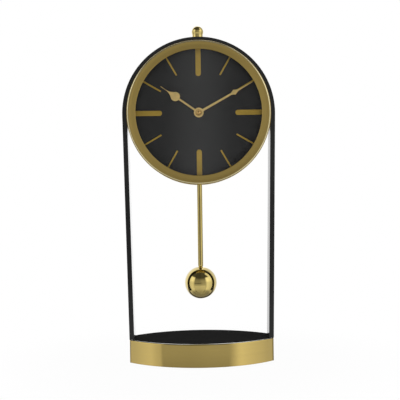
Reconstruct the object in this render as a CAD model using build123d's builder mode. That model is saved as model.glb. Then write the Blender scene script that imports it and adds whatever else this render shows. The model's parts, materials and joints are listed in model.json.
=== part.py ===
from build123d import *
import os
from math import acos, atan2, cos, hypot, pi, radians, sin, sqrt, tan

os.makedirs("parts", exist_ok=True)

# Desk pendulum clock, in millimetres. +Z is up and the dial faces -Y.
# The origin is on the table under the middle of the base.

# Stand: one flat bar bent into an arch, standing on a lens-shaped base.
arch_radius = 90.0
strip_thickness = 5.6
strip_depth = 28.0
arch_centre_height = 293.2
foot_half_width = 85.1

# Base: gold band round a black deck and a steel floor.
base_height = 28.0
base_depth = 102.0
band_wall = 1.6
band_corner = 2.4
foot_overhang = 0.2
lip_width = 5.0
lip_thickness = 1.2
pad_proud = 0.8
pad_radius = 6.0
pad_front_x = 30.0
pad_clear = 1.0
floor_thickness = 1.6
deck_thickness = 2.0
deck_recess = 0.2
post_radius = 4.0
post_x = 46.0
post_y = 14.0
tongue_thickness = 2.4
tab_length = 13.0
tab_screw_y = 6.0

# Case that holds the dial under the arch.
case_gap = 0.3
case_wall = 1.2
bezel_reach = 15.5
bezel_inset = 0.7
bezel_width = 10.2
bezel_face = 1.6
bead_width = 2.6
bead_height = 0.8
skirt_wall = 1.4
skirt_length = 6.0
glass_thickness = 2.0
dial_well = 9.2
dial_thickness = 1.0
seat_thickness = 1.2
seat_width = 8.0
cover_thickness = 1.2
cover_recess = 1.6
lug_length = 8.0
lug_width = 10.0
lug_thickness = 4.0

# Dial markers and hands.
quarter_width = 6.2
quarter_length = 30.3
hour_width = 1.9
hour_length = 22.5
marker_tuck = 2.5
marker_height = 0.7
hand_thickness = 0.6
hour_hand_length = 53.9
hour_bulge_at = 33.1
hour_bulge_radius = 6.0
minute_hand_gap = 1.0
minute_leaf_at = 48.9
minute_leaf_half = 3.6
cap_radius = 3.85
hour_hub_radius = 5.4
hour_stem = 2.2
minute_hub_radius = 6.4
minute_clock_angle = 61.0
hour_clock_angle = 305.1

# Movement behind the dial.
movement_width = 56.0
movement_height = 56.0
shaft_below_top = 26.0
shell_wall = 1.6
front_shell_depth = 12.0
movement_stand = 0.8
bush_radius = 4.0
pipe_radius = 2.65
arbor_radius = 1.6
running_gap = 0.08
drive_module = 0.5
motion_module = 0.4
pinion_teeth = 12
minute_wheel_teeth = 36
large_wheel_teeth = 48
battery_radius = 7.1
battery_length = 49.0
motor_height = 30.0
motor_rise = 6.0
peg_radius = 1.5
peg_x = 12.0
peg_setback = 3.4
knob_radius = 5.5
knob_height = 3.6

# Pendulum.
swing_degrees = 8.0
pivot_drop = 38.0
rod_radius = 3.1
thread_radius = 1.6
thread_length = 7.0
bob_radius = 19.1
bob_height = 92.5
hanger_half = 5.0
hanger_length = 36.0
bracket_plate = 2.6
bracket_width = 34.0
cheek_width = 22.0
cheek_below_magnet = 8.0
magnet_drop = 20.0

# Finial ball on top of the arch.
finial_radius = 6.95
finial_neck = 3.9
finial_neck_radius = 5.6
stud_radius = 2.0

# Screws share these sizes.
screw_radius = 1.45
screw_hole = 1.5
screw_clear = 1.7
screw_head_radius = 2.8
screw_head_height = 1.1
screw_length = 6.0

# Levels of the base, from the table up.
lip_bottom = pad_proud
floor_bottom = lip_bottom + lip_thickness
floor_top = floor_bottom + floor_thickness
deck_top = base_height - deck_recess
deck_bottom = deck_top - deck_thickness
base_end = foot_half_width - foot_overhang

# The legs lean in a little, tangent to the arch.
leg_drop = arch_centre_height - base_height
lean = atan2(leg_drop, foot_half_width) - acos(arch_radius / hypot(leg_drop, foot_half_width))
arch_inner = arch_radius - strip_thickness
foot_inner = (arch_inner - leg_drop * sin(lean)) / cos(lean)
arch_top = arch_centre_height + arch_radius
tongue_half = strip_depth / 2 - band_wall - 0.4
tab_screw_x = foot_inner - tab_length / 2

# The pads keep clear of the lip of the band and of the screw heads.
lens_rise = base_depth / 2 - strip_depth / 2
lens_radius = (base_end**2 + lens_rise**2) / (2 * lens_rise)
pad_ring = lens_radius - band_wall - lip_width - pad_radius - pad_clear
pad_front_y = sqrt(pad_ring**2 - pad_front_x**2) - lens_radius + base_depth / 2
pad_end_x = tab_screw_x - screw_head_radius - pad_radius - 3.0

# Radii of the case.
case_radius = arch_inner - case_gap
case_inner = case_radius - case_wall
bezel_radius = case_radius - bezel_inset
bezel_opening = bezel_radius - bezel_width
skirt_radius = case_inner - 0.15
skirt_inner = skirt_radius - skirt_wall
glass_radius = skirt_inner - 0.4
lug_pitch_radius = case_inner - lug_length / 2 + 0.4

# Depths through the case, front to back.
bezel_front = -strip_depth / 2 - bezel_reach
bezel_plane = bezel_front + bead_height
glass_front = bezel_plane + bezel_face
glass_back = glass_front + glass_thickness
dial_front = glass_back + dial_well
dial_back = dial_front + dial_thickness
seat_back = dial_back + seat_thickness
case_front = bezel_plane + 2.8
case_back = strip_depth / 2
cover_back = case_back - cover_recess
cover_front = cover_back - cover_thickness

# Depths of the hands on the dial axis.
washer_front = dial_front - 0.5
nut_front = washer_front - 2.4
bush_front = nut_front - 0.4
hour_back = bush_front - 0.4
hour_front = hour_back - hand_thickness
pipe_front = hour_front - 0.1
minute_back = pipe_front - 0.6
minute_front = minute_back - hand_thickness
cap_front = minute_front - 2.0

# Depths of the movement.
movement_front = dial_back
shell_split = movement_front + front_shell_depth
movement_back = cover_back + movement_stand
cavity_front = movement_front + shell_wall
plate_back = shell_split
plate_front = plate_back - 1.4
hour_wheel_front = cavity_front + 0.8
hour_wheel_back = hour_wheel_front + 1.2
minute_wheel_front = hour_wheel_back + 1.2
minute_wheel_back = minute_wheel_front + 1.2
centre_wheel_front = minute_wheel_back + 1.6
centre_wheel_back = centre_wheel_front + 1.0

# The movement box hangs a little lower than the dial axis.
movement_top = arch_centre_height + shaft_below_top
movement_bottom = movement_top - movement_height
movement_middle = (movement_top + movement_bottom) / 2
inner_half_width = movement_width / 2 - shell_wall
bay_half = battery_radius + 0.4
battery_height = movement_bottom + shell_wall + bay_half
bay_top = battery_height + bay_half
cavity_bottom = bay_top + 1.5
cavity_height = movement_top - shell_wall - cavity_bottom
cavity_middle = cavity_bottom + cavity_height / 2
bay_floor = movement_back - 2 * battery_radius - 0.5
battery_depth = bay_floor + battery_radius + 0.15
bay_half_length = battery_length / 2 + 1.7

# Gear centres: the minute wheel stands up and right of the dial axis, the motor pinion left of it.
gear_distance = (pinion_teeth + minute_wheel_teeth) * drive_module / 2
minute_wheel_turn = 45.0
minute_wheel_x = gear_distance * cos(radians(minute_wheel_turn))
minute_wheel_height = arch_centre_height + gear_distance * sin(radians(minute_wheel_turn))
motor_x = -(pinion_teeth + large_wheel_teeth) * motion_module / 2

# The pendulum hangs in the middle plane of the stand, behind the dial.
pivot_height = arch_centre_height - pivot_drop
cheek_inner = 5.0
cheek_outer = 7.0
hanger_face = 3.0
hanger_bottom = pivot_height - hanger_length
hanger_pin_height = hanger_bottom + 4.0
bob_flat = 3.4
rod_foot = bob_height + sqrt(bob_radius**2 - bob_flat**2)
rod_shoulder = hanger_bottom - 1.0
case_bottom = arch_centre_height - case_radius
slot_half = (pivot_height - case_bottom) * tan(radians(swing_degrees)) + rod_radius + 1.6
magnet_height = pivot_height - magnet_drop

# Section plane for pieces turned about the dial axis: depth across, radius up.
turning = Plane(origin=(0, 0, arch_centre_height), x_dir=(0, 1, 0), z_dir=(1, 0, 0))
dial_axis = Axis((0, 0, arch_centre_height), (0, 1, 0))


# Upright plane at a depth, seen from the front. Extrusions from it come forward.
def upright(depth, across=0.0, height=arch_centre_height):
    return Plane(origin=(across, depth, height), x_dir=(1, 0, 0), z_dir=(0, -1, 0))


# The same plane turned so that its local Y points at a clock angle.
def clockface(depth, clock_angle):
    turn = radians(clock_angle)
    return Plane(origin=(0, depth, arch_centre_height), x_dir=(cos(turn), 0, -sin(turn)), z_dir=(0, -1, 0))


# Lens-shaped outline of the base, drawn in the open sketch.
def base_outline():
    end = strip_depth / 2
    side = base_depth / 2
    with BuildLine() as outline:
        ThreePointArc((-base_end, -end), (0, -side), (base_end, -end))
        Line((base_end, -end), (base_end, end))
        ThreePointArc((base_end, end), (0, side), (-base_end, end))
        Line((-base_end, end), (-base_end, -end))
    make_face(outline.edges())


# Gear outline with short involute teeth, drawn in the open sketch. One tooth lies at the phase angle.
def gear_outline(teeth, module, phase):
    pressure = radians(20)
    pitch = teeth * module / 2
    base = pitch * cos(pressure)
    root = pitch - module
    tip = pitch + 0.75 * module
    start = max(base, root)

    def flank(radius, side):
        roll = acos(min(1.0, base / radius))
        half = 0.9 * pi / (2 * teeth) + (tan(pressure) - pressure) - (tan(roll) - roll)
        return (radius * cos(half), side * radius * sin(half))

    def inside(side):
        x, y = flank(start, side)
        share = (root - 0.3 * module) / start
        return (x * share, y * share)

    with BuildSketch(Plane.XY, mode=Mode.PRIVATE) as tooth:
        with BuildLine():
            Line(inside(-1), flank(start, -1))
            ThreePointArc(flank(start, -1), flank((start + tip) / 2, -1), flank(tip, -1))
            Line(flank(tip, -1), flank(tip, 1))
            ThreePointArc(flank(tip, 1), flank((start + tip) / 2, 1), flank(start, 1))
            Line(flank(start, 1), inside(1))
            Line(inside(1), inside(-1))
        make_face()
    Circle(root)
    with PolarLocations(0, teeth, start_angle=phase):
        add(tooth.sketch)


# Arch frame: flat bar, with tongues that pass inside the band and tabs that lie on the floor.
with BuildPart() as arch_frame:
    side_x = cos(lean)
    side_z = -sin(lean)
    with BuildSketch(upright(0)):
        with BuildLine():
            Line((foot_half_width, -leg_drop), (arch_radius * side_x, arch_radius * side_z))
            ThreePointArc((arch_radius * side_x, arch_radius * side_z), (0, arch_radius),
                          (-arch_radius * side_x, arch_radius * side_z))
            Line((-arch_radius * side_x, arch_radius * side_z), (-foot_half_width, -leg_drop))
            Line((-foot_half_width, -leg_drop), (-foot_inner, -leg_drop))
            Line((-foot_inner, -leg_drop), (-arch_inner * side_x, arch_inner * side_z))
            ThreePointArc((-arch_inner * side_x, arch_inner * side_z), (0, arch_inner),
                          (arch_inner * side_x, arch_inner * side_z))
            Line((arch_inner * side_x, arch_inner * side_z), (foot_inner, -leg_drop))
            Line((foot_inner, -leg_drop), (foot_half_width, -leg_drop))
        make_face()
    extrude(amount=strip_depth / 2, both=True)
    for side in (-1, 1):
        tongue_x = side * (foot_inner + tongue_thickness / 2)
        with BuildSketch(Plane.XY.offset(floor_top)):
            with Locations((tongue_x, 0)):
                Rectangle(tongue_thickness, 2 * tongue_half)
        extrude(amount=base_height - floor_top)
        tab_x = side * (foot_inner + tongue_thickness / 2 - tab_length / 2)
        with BuildSketch(Plane.XY.offset(floor_top)):
            with Locations((tab_x, 0)):
                Rectangle(tab_length + tongue_thickness, 2 * tongue_half)
        extrude(amount=tongue_thickness)
    with BuildSketch(Plane.XY.offset(floor_top)):
        with Locations((tab_screw_x, tab_screw_y), (tab_screw_x, -tab_screw_y),
                       (-tab_screw_x, tab_screw_y), (-tab_screw_x, -tab_screw_y)):
            Circle(screw_hole)
    extrude(amount=tongue_thickness, mode=Mode.SUBTRACT)
    with BuildSketch(Plane.XY.offset(arch_top - 2 * strip_thickness)):
        Circle(stud_radius + 0.2)
    extrude(amount=3 * strip_thickness, mode=Mode.SUBTRACT)
arch_frame.part.label = "arch_frame"
export_step(arch_frame.part, "parts/arch_frame.step")

# Gold band: closed lens-shaped ring with an inward lip that carries the floor.
with BuildPart() as base_band:
    with BuildSketch(Plane.XY.offset(lip_bottom)) as band_plan:
        base_outline()
        fillet(band_plan.vertices(), radius=band_corner)
    extrude(amount=base_height - lip_bottom)
    with BuildSketch(Plane.XY.offset(floor_bottom)) as band_hollow:
        base_outline()
        fillet(band_hollow.vertices(), radius=band_corner)
        offset(amount=-band_wall, kind=Kind.INTERSECTION)
    extrude(amount=base_height - floor_bottom, mode=Mode.SUBTRACT)
    with BuildSketch(Plane.XY.offset(lip_bottom)) as band_mouth:
        base_outline()
        fillet(band_mouth.vertices(), radius=band_corner)
        offset(amount=-band_wall - lip_width, kind=Kind.INTERSECTION)
    extrude(amount=lip_thickness, mode=Mode.SUBTRACT)
base_band.part.label = "base_band"
export_step(base_band.part, "parts/base_band.step")

# Steel floor that lies on the lip of the band.
floor_screws = [(sx * tab_screw_x, sy * tab_screw_y) for sx in (-1, 1) for sy in (-1, 1)]
floor_screws += [(sx * post_x, sy * post_y) for sx in (-1, 1) for sy in (-1, 1)]
with BuildPart() as base_floor:
    with BuildSketch(Plane.XY.offset(floor_bottom)) as floor_plan:
        base_outline()
        fillet(floor_plan.vertices(), radius=band_corner)
        offset(amount=-band_wall - 0.15, kind=Kind.INTERSECTION)
        with Locations(*floor_screws):
            Circle(screw_clear, mode=Mode.SUBTRACT)
    extrude(amount=floor_thickness)
base_floor.part.label = "base_floor"
export_step(base_floor.part, "parts/base_floor.step")

# Black deck, a little below the edge of the band, on four posts that stand on the floor.
with BuildPart() as base_deck:
    with BuildSketch(Plane.XY.offset(deck_bottom)) as deck_plan:
        base_outline()
        fillet(deck_plan.vertices(), radius=band_corner)
        offset(amount=-band_wall - 0.15, kind=Kind.INTERSECTION)
        Rectangle(2 * foot_inner - 0.3, base_depth, mode=Mode.INTERSECT)
    extrude(amount=deck_thickness)
    with BuildSketch(Plane.XY.offset(floor_top)):
        with GridLocations(2 * post_x, 2 * post_y, 2, 2):
            Circle(post_radius)
    extrude(amount=deck_bottom - floor_top)
    with BuildSketch(Plane.XY.offset(floor_top)):
        with GridLocations(2 * post_x, 2 * post_y, 2, 2):
            Circle(screw_hole)
    extrude(amount=screw_length + 2.0, mode=Mode.SUBTRACT)
base_deck.part.label = "base_deck"
export_step(base_deck.part, "parts/base_deck.step")

# Eight equal screws hold the leg tabs and the deck posts to the floor.
with BuildPart() as base_screws:
    with BuildSketch(Plane.XY.offset(floor_bottom - screw_head_height)):
        with Locations(*floor_screws):
            Circle(screw_head_radius)
    extrude(amount=screw_head_height)
    with BuildSketch(Plane.XY.offset(floor_bottom)):
        with Locations(*floor_screws):
            Circle(screw_radius)
    extrude(amount=screw_length)
base_screws.part.label = "base_screws"
export_step(base_screws.part, "parts/base_screws.step")

# Six rubber pads under the floor.
with BuildPart() as foot_pads:
    with BuildSketch(Plane.XY):
        with GridLocations(2 * pad_front_x, 2 * pad_front_y, 2, 2):
            Circle(pad_radius)
        with Locations((pad_end_x, 0), (-pad_end_x, 0)):
            Circle(pad_radius)
    extrude(amount=floor_bottom)
foot_pads.part.label = "foot_pads"
export_step(foot_pads.part, "parts/foot_pads.step")

# Drum of the case: thin wall, four lugs for the cover, a slot for the rod and a hole for the stud.
with BuildPart() as case_drum:
    with BuildSketch(upright(case_back)):
        Circle(case_radius)
        Circle(case_inner, mode=Mode.SUBTRACT)
    extrude(amount=case_back - case_front)
    with BuildSketch(upright(cover_front)):
        with PolarLocations(lug_pitch_radius, 4, start_angle=45):
            Rectangle(lug_length, lug_width)
    extrude(amount=lug_thickness)
    with BuildSketch(upright(cover_front)):
        with PolarLocations(lug_pitch_radius - 0.6, 4, start_angle=45):
            Circle(screw_hole)
    extrude(amount=lug_thickness, mode=Mode.SUBTRACT)
    with BuildSketch(Plane.XY.offset(case_bottom - 2.0)):
        SlotOverall(2 * slot_half, 2 * rod_radius + 4.0)
    extrude(amount=12.0, mode=Mode.SUBTRACT)
    with BuildSketch(Plane.XY.offset(arch_centre_height + case_inner - 4.0)):
        Circle(stud_radius + 0.2)
    extrude(amount=8.0, mode=Mode.SUBTRACT)
case_drum.part.label = "case_drum"
export_step(case_drum.part, "parts/case_drum.step")

# Bezel: flat ring with a rounded bead at its rim and a skirt that slips into the drum.
with BuildPart() as bezel:
    with BuildSketch(turning):
        with BuildLine():
            bead_inner = bezel_radius - bead_width
            Line((bezel_plane, bezel_opening), (bezel_plane, bead_inner))
            ThreePointArc((bezel_plane, bead_inner), (bezel_front, bezel_radius - bead_width / 2),
                          (bezel_plane, bezel_radius))
            Polyline((bezel_plane, bezel_radius), (case_front, bezel_radius), (case_front, skirt_radius),
                     (case_front + skirt_length, skirt_radius), (case_front + skirt_length, skirt_inner),
                     (glass_front, skirt_inner), (glass_front, bezel_opening), (bezel_plane, bezel_opening))
        make_face()
    revolve(axis=dial_axis)
bezel.part.label = "bezel"
export_step(bezel.part, "parts/bezel.step")

# Flat glass behind the bezel.
with BuildPart() as lens_glass:
    with BuildSketch(upright(glass_back)):
        Circle(glass_radius)
    extrude(amount=glass_thickness)
lens_glass.part.label = "lens_glass"
export_step(lens_glass.part, "parts/lens_glass.step")

# Spacer ring that holds the glass forward and the dial back.
with BuildPart() as spacer_ring:
    with BuildSketch(upright(dial_front)):
        Circle(glass_radius)
        Circle(glass_radius - 2.4, mode=Mode.SUBTRACT)
    extrude(amount=dial_well)
spacer_ring.part.label = "spacer_ring"
export_step(spacer_ring.part, "parts/spacer_ring.step")

# Seat ring inside the drum, behind the dial.
with BuildPart() as dial_seat:
    with BuildSketch(upright(seat_back)):
        Circle(case_inner - 0.15)
        Circle(case_inner - seat_width, mode=Mode.SUBTRACT)
    extrude(amount=seat_thickness)
dial_seat.part.label = "dial_seat"
export_step(dial_seat.part, "parts/dial_seat.step")

# Black dial.
with BuildPart() as dial:
    with BuildSketch(upright(dial_back)):
        Circle(glass_radius)
        Circle(bush_radius + 0.15, mode=Mode.SUBTRACT)
    extrude(amount=dial_thickness)
dial.part.label = "dial"
export_step(dial.part, "parts/dial.step")

# Four thick markers with round inner ends.
marker_outer = bezel_opening + marker_tuck
with BuildPart() as quarter_markers:
    with BuildSketch(upright(dial_front)):
        reach = quarter_length + marker_tuck - quarter_width / 2
        with PolarLocations(marker_outer - reach / 2, 4):
            Rectangle(reach, quarter_width)
        with PolarLocations(marker_outer - reach, 4):
            Circle(quarter_width / 2)
    extrude(amount=marker_height)
quarter_markers.part.label = "quarter_markers"
export_step(quarter_markers.part, "parts/quarter_markers.step")

# Eight thin markers between them.
with BuildPart() as hour_markers:
    for hour in (1, 2, 4, 5, 7, 8, 10, 11):
        with BuildSketch(clockface(dial_front, 30 * hour)):
            with Locations((0, marker_outer - (hour_length + marker_tuck) / 2)):
                Rectangle(hour_width, hour_length + marker_tuck)
        extrude(amount=marker_height)
hour_markers.part.label = "hour_markers"
export_step(hour_markers.part, "parts/hour_markers.step")

# Hour hand: thin stem, round bulge and a concave point.
with BuildPart() as hour_hand:
    with BuildSketch(clockface(hour_back, hour_clock_angle)):
        Circle(hour_hub_radius)
        with Locations((0, hour_bulge_at / 2)):
            Rectangle(hour_stem, hour_bulge_at)
        with Locations((0, hour_bulge_at)):
            Circle(hour_bulge_radius)
        with BuildLine():
            shoulder_x = 0.8 * hour_bulge_radius
            shoulder_y = hour_bulge_at + 0.6 * hour_bulge_radius
            neck_y = shoulder_y + 0.4 * (hour_hand_length - shoulder_y)
            Line((-shoulder_x, shoulder_y), (shoulder_x, shoulder_y))
            Spline((shoulder_x, shoulder_y), (1.0, neck_y), (0.35, hour_hand_length),
                   tangents=((-0.6, 0.8), (0, 1)))
            Line((0.35, hour_hand_length), (-0.35, hour_hand_length))
            Spline((-shoulder_x, shoulder_y), (-1.0, neck_y), (-0.35, hour_hand_length),
                   tangents=((0.6, 0.8), (0, 1)))
        make_face()
        Circle(pipe_radius + 0.02, mode=Mode.SUBTRACT)
    extrude(amount=hand_thickness)
hour_hand.part.label = "hour_hand"
export_step(hour_hand.part, "parts/hour_hand.step")

# Minute hand: long stem with a small leaf and a fine tip.
minute_hand_length = bezel_opening - minute_hand_gap
with BuildPart() as minute_hand:
    with BuildSketch(clockface(minute_back, minute_clock_angle)):
        Circle(minute_hub_radius)
        with BuildLine():
            leaf_start = minute_leaf_at - 1.7 * minute_leaf_half
            leaf_end = minute_leaf_at + 2.2 * minute_leaf_half
            Line((-1.35, 0), (1.35, 0))
            Line((1.35, 0), (1.15, leaf_start))
            Spline((1.15, leaf_start), (minute_leaf_half, minute_leaf_at), (1.1, leaf_end),
                   tangents=((0, 1), (-0.1, 1)))
            Line((1.1, leaf_end), (0.3, minute_hand_length))
            Line((0.3, minute_hand_length), (-0.3, minute_hand_length))
            Line((-0.3, minute_hand_length), (-1.1, leaf_end))
            Spline((-1.15, leaf_start), (-minute_leaf_half, minute_leaf_at), (-1.1, leaf_end),
                   tangents=((0, 1), (0.1, 1)))
            Line((-1.15, leaf_start), (-1.35, 0))
        make_face()
        Circle(arbor_radius + 0.02, mode=Mode.SUBTRACT)
    extrude(amount=hand_thickness)
minute_hand.part.label = "minute_hand"
export_step(minute_hand.part, "parts/minute_hand.step")

# Domed cap nut that holds the minute hand.
with BuildPart() as hand_cap:
    with BuildSketch(turning):
        with BuildLine():
            dome = minute_front - 0.8 - cap_front
            dome_radius = (cap_radius**2 + dome**2) / (2 * dome)
            half_way = dome_radius - sqrt(dome_radius**2 - cap_radius**2 / 4)
            Line((minute_front, 0), (minute_front, cap_radius))
            Line((minute_front, cap_radius), (minute_front - 0.8, cap_radius))
            ThreePointArc((minute_front - 0.8, cap_radius), (cap_front + half_way, cap_radius / 2),
                          (cap_front, 0))
            Line((cap_front, 0), (minute_front, 0))
        make_face()
    revolve(axis=dial_axis)
    with BuildSketch(upright(minute_front)):
        Circle(arbor_radius + 0.02)
    extrude(amount=1.3, mode=Mode.SUBTRACT)
hand_cap.part.label = "hand_cap"
export_step(hand_cap.part, "parts/hand_cap.step")

# Washer and hex nut that clamp the dial to the movement.
with BuildPart() as bush_washer:
    with BuildSketch(upright(dial_front)):
        Circle(7.0)
        Circle(bush_radius + 0.05, mode=Mode.SUBTRACT)
    extrude(amount=dial_front - washer_front)
bush_washer.part.label = "bush_washer"
export_step(bush_washer.part, "parts/bush_washer.step")

with BuildPart() as bush_nut:
    with BuildSketch(upright(washer_front)):
        RegularPolygon(6.0, 6, major_radius=False)
        Circle(bush_radius + 0.05, mode=Mode.SUBTRACT)
    extrude(amount=washer_front - nut_front)
bush_nut.part.label = "bush_nut"
export_step(bush_nut.part, "parts/bush_nut.step")

# Front half of the movement box, with the threaded bush and four posts for the train plate.
post_across = inner_half_width - 3.0
post_top = movement_top - shell_wall - 3.0
post_bottom = cavity_bottom + 3.0
with BuildPart() as front_shell:
    with BuildSketch(upright(shell_split, 0, movement_middle)):
        RectangleRounded(movement_width, movement_height, 3.0)
    extrude(amount=front_shell_depth)
    with BuildSketch(upright(shell_split, 0, movement_middle)):
        RectangleRounded(movement_width - 2 * shell_wall, movement_height - 2 * shell_wall, 1.4)
    extrude(amount=front_shell_depth - shell_wall, mode=Mode.SUBTRACT)
    with BuildSketch(upright(movement_front)):
        Circle(bush_radius)
    extrude(amount=movement_front - bush_front)
    with BuildSketch(upright(cavity_front)):
        Circle(pipe_radius + running_gap)
    extrude(amount=cavity_front - bush_front, mode=Mode.SUBTRACT)
    with BuildSketch(upright(cavity_front, minute_wheel_x, minute_wheel_height)):
        Circle(0.8 + running_gap)
    extrude(amount=1.1, mode=Mode.SUBTRACT)
    with BuildSketch(upright(plate_front, 0, (post_top + post_bottom) / 2)):
        with GridLocations(2 * post_across, post_top - post_bottom, 2, 2):
            Circle(2.2)
    extrude(amount=plate_front - cavity_front)
    with BuildSketch(upright(plate_back, 0, (post_top + post_bottom) / 2)):
        with GridLocations(2 * post_across, post_top - post_bottom, 2, 2):
            Circle(1.2)
    extrude(amount=plate_back - plate_front)
    with BuildSketch(Plane.XY.offset(movement_bottom)):
        with Locations((-peg_x, shell_split - peg_setback), (peg_x, shell_split - peg_setback)):
            Circle(peg_radius + 0.05)
    extrude(amount=shell_wall, mode=Mode.SUBTRACT)
front_shell.part.label = "front_shell"
export_step(front_shell.part, "parts/front_shell.step")

# Rear half of the movement box, with the open battery bay.
with BuildPart() as rear_shell:
    with BuildSketch(upright(movement_back, 0, movement_middle)):
        RectangleRounded(movement_width, movement_height, 3.0)
    extrude(amount=movement_back - shell_split)
    with BuildSketch(upright(movement_back - shell_wall, 0, cavity_middle)):
        Rectangle(2 * inner_half_width, cavity_height)
    extrude(amount=movement_back - shell_wall - shell_split, mode=Mode.SUBTRACT)
    with BuildSketch(upright(movement_back, 0, battery_height)):
        Rectangle(2 * bay_half_length, 2 * bay_half)
    extrude(amount=movement_back - bay_floor, mode=Mode.SUBTRACT)
    with BuildSketch(upright(movement_back, minute_wheel_x, minute_wheel_height)):
        Circle(1.2 + running_gap)
    extrude(amount=shell_wall, mode=Mode.SUBTRACT)
rear_shell.part.label = "rear_shell"
export_step(rear_shell.part, "parts/rear_shell.step")

# Plate that carries the back pivots of the train.
with BuildPart() as train_plate:
    with BuildSketch(upright(plate_back, 0, cavity_middle)):
        RectangleRounded(2 * inner_half_width - 0.3, cavity_height - 0.3, 1.6)
    extrude(amount=plate_back - plate_front)
    with BuildSketch(upright(plate_back, 0, (post_top + post_bottom) / 2)):
        with GridLocations(2 * post_across, post_top - post_bottom, 2, 2):
            Circle(1.25)
    extrude(amount=plate_back - plate_front, mode=Mode.SUBTRACT)
    with BuildSketch(upright(plate_back)):
        Circle(1.0 + running_gap)
        with Locations((minute_wheel_x, minute_wheel_height - arch_centre_height)):
            Circle(1.2 + running_gap)
        with Locations((motor_x, 0)):
            Circle(1.0 + running_gap)
    extrude(amount=plate_back - plate_front, mode=Mode.SUBTRACT)
train_plate.part.label = "train_plate"
export_step(train_plate.part, "parts/train_plate.step")

# Hour wheel with the pipe that carries the hour hand.
with BuildPart() as hour_wheel:
    with BuildSketch(upright(hour_wheel_back)):
        gear_outline(large_wheel_teeth, motion_module, minute_wheel_turn + 180 / large_wheel_teeth)
    extrude(amount=hour_wheel_back - hour_wheel_front)
    with BuildSketch(upright(hour_wheel_front)):
        Circle(pipe_radius)
    extrude(amount=hour_wheel_front - pipe_front)
    with BuildSketch(upright(hour_wheel_back)):
        Circle(arbor_radius + running_gap)
    extrude(amount=hour_wheel_back - pipe_front, mode=Mode.SUBTRACT)
hour_wheel.part.label = "hour_wheel"
export_step(hour_wheel.part, "parts/hour_wheel.step")

# Centre arbor with the cannon pinion; it carries the minute hand.
with BuildPart() as centre_arbor:
    with BuildSketch(upright(plate_front - 0.15)):
        Circle(arbor_radius)
    extrude(amount=plate_front - 0.15 - (cap_front + 0.8))
    with BuildSketch(upright(plate_back - 0.1)):
        Circle(1.0)
    extrude(amount=plate_back - plate_front + 0.1)
    with BuildSketch(upright(minute_wheel_back + 0.2)):
        gear_outline(pinion_teeth, drive_module, minute_wheel_turn)
    extrude(amount=minute_wheel_back - minute_wheel_front + 0.4)
centre_arbor.part.label = "centre_arbor"
export_step(centre_arbor.part, "parts/centre_arbor.step")

# Centre wheel, driven by the motor pinion and held on the arbor by friction.
with BuildPart() as centre_wheel:
    with BuildSketch(upright(centre_wheel_back)):
        gear_outline(large_wheel_teeth, motion_module, 180)
        Circle(arbor_radius + 0.02, mode=Mode.SUBTRACT)
    extrude(amount=centre_wheel_back - centre_wheel_front)
centre_wheel.part.label = "centre_wheel"
export_step(centre_wheel.part, "parts/centre_wheel.step")

# Minute wheel with its pinion, on the arbor that the setting knob turns.
with BuildPart() as minute_wheel:
    with BuildSketch(upright(minute_wheel_back, minute_wheel_x, minute_wheel_height)):
        gear_outline(minute_wheel_teeth, drive_module, minute_wheel_turn + 180 + 180 / minute_wheel_teeth)
    extrude(amount=minute_wheel_back - minute_wheel_front)
    with BuildSketch(upright(minute_wheel_front, minute_wheel_x, minute_wheel_height)):
        gear_outline(pinion_teeth, motion_module, minute_wheel_turn + 180)
    extrude(amount=minute_wheel_front - hour_wheel_front + 0.3)
    with BuildSketch(upright(movement_back + knob_height - 0.1, minute_wheel_x, minute_wheel_height)):
        Circle(1.2)
    extrude(amount=movement_back + knob_height - 0.1 - minute_wheel_back)
    with BuildSketch(upright(hour_wheel_front, minute_wheel_x, minute_wheel_height)):
        Circle(0.8)
    extrude(amount=hour_wheel_front - cavity_front + 0.8)
minute_wheel.part.label = "minute_wheel"
export_step(minute_wheel.part, "parts/minute_wheel.step")

# Knob at the back that sets the time.
with BuildPart() as setting_knob:
    with BuildSketch(upright(movement_back + 0.4 + knob_height, minute_wheel_x, minute_wheel_height)):
        Circle(knob_radius)
        with PolarLocations(knob_radius + 0.4, 16):
            Circle(0.8, mode=Mode.SUBTRACT)
    extrude(amount=knob_height)
    with BuildSketch(upright(movement_back + knob_height, minute_wheel_x, minute_wheel_height)):
        Circle(1.22)
    extrude(amount=knob_height, mode=Mode.SUBTRACT)
setting_knob.part.label = "setting_knob"
export_step(setting_knob.part, "parts/setting_knob.step")

# Output pinion of the step motor.
with BuildPart() as motor_pinion:
    with BuildSketch(upright(centre_wheel_back + 0.3, motor_x)):
        gear_outline(pinion_teeth, motion_module, 180 / pinion_teeth)
    extrude(amount=centre_wheel_back - centre_wheel_front + 0.6)
    with BuildSketch(upright(plate_back + 2.0, motor_x)):
        Circle(1.0)
    extrude(amount=plate_back + 2.0 - centre_wheel_back)
motor_pinion.part.label = "motor_pinion"
export_step(motor_pinion.part, "parts/motor_pinion.step")

# Sealed step motor behind the train plate.
motor_back = movement_back - shell_wall - 4.0
with BuildPart() as step_motor:
    with BuildSketch(upright(motor_back, (motor_x - inner_half_width) / 2 + 2.2)):
        with Locations((0, motor_rise)):
            Rectangle(inner_half_width + motor_x + 4.0, motor_height)
    extrude(amount=motor_back - plate_back - 0.05)
    with BuildSketch(upright(plate_back + 2.3, motor_x)):
        Circle(1.0 + running_gap)
    extrude(amount=2.3, mode=Mode.SUBTRACT)
step_motor.part.label = "step_motor"
export_step(step_motor.part, "parts/step_motor.step")

# Circuit board beside the setting arbor.
with BuildPart() as circuit_board:
    with BuildSketch(upright(plate_back + 1.2, (inner_half_width + minute_wheel_x) / 2 + 1.2)):
        with Locations((0, motor_rise)):
            Rectangle(inner_half_width - minute_wheel_x - 3.0, motor_height)
    extrude(amount=1.0)
circuit_board.part.label = "circuit_board"
export_step(circuit_board.part, "parts/circuit_board.step")

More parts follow.
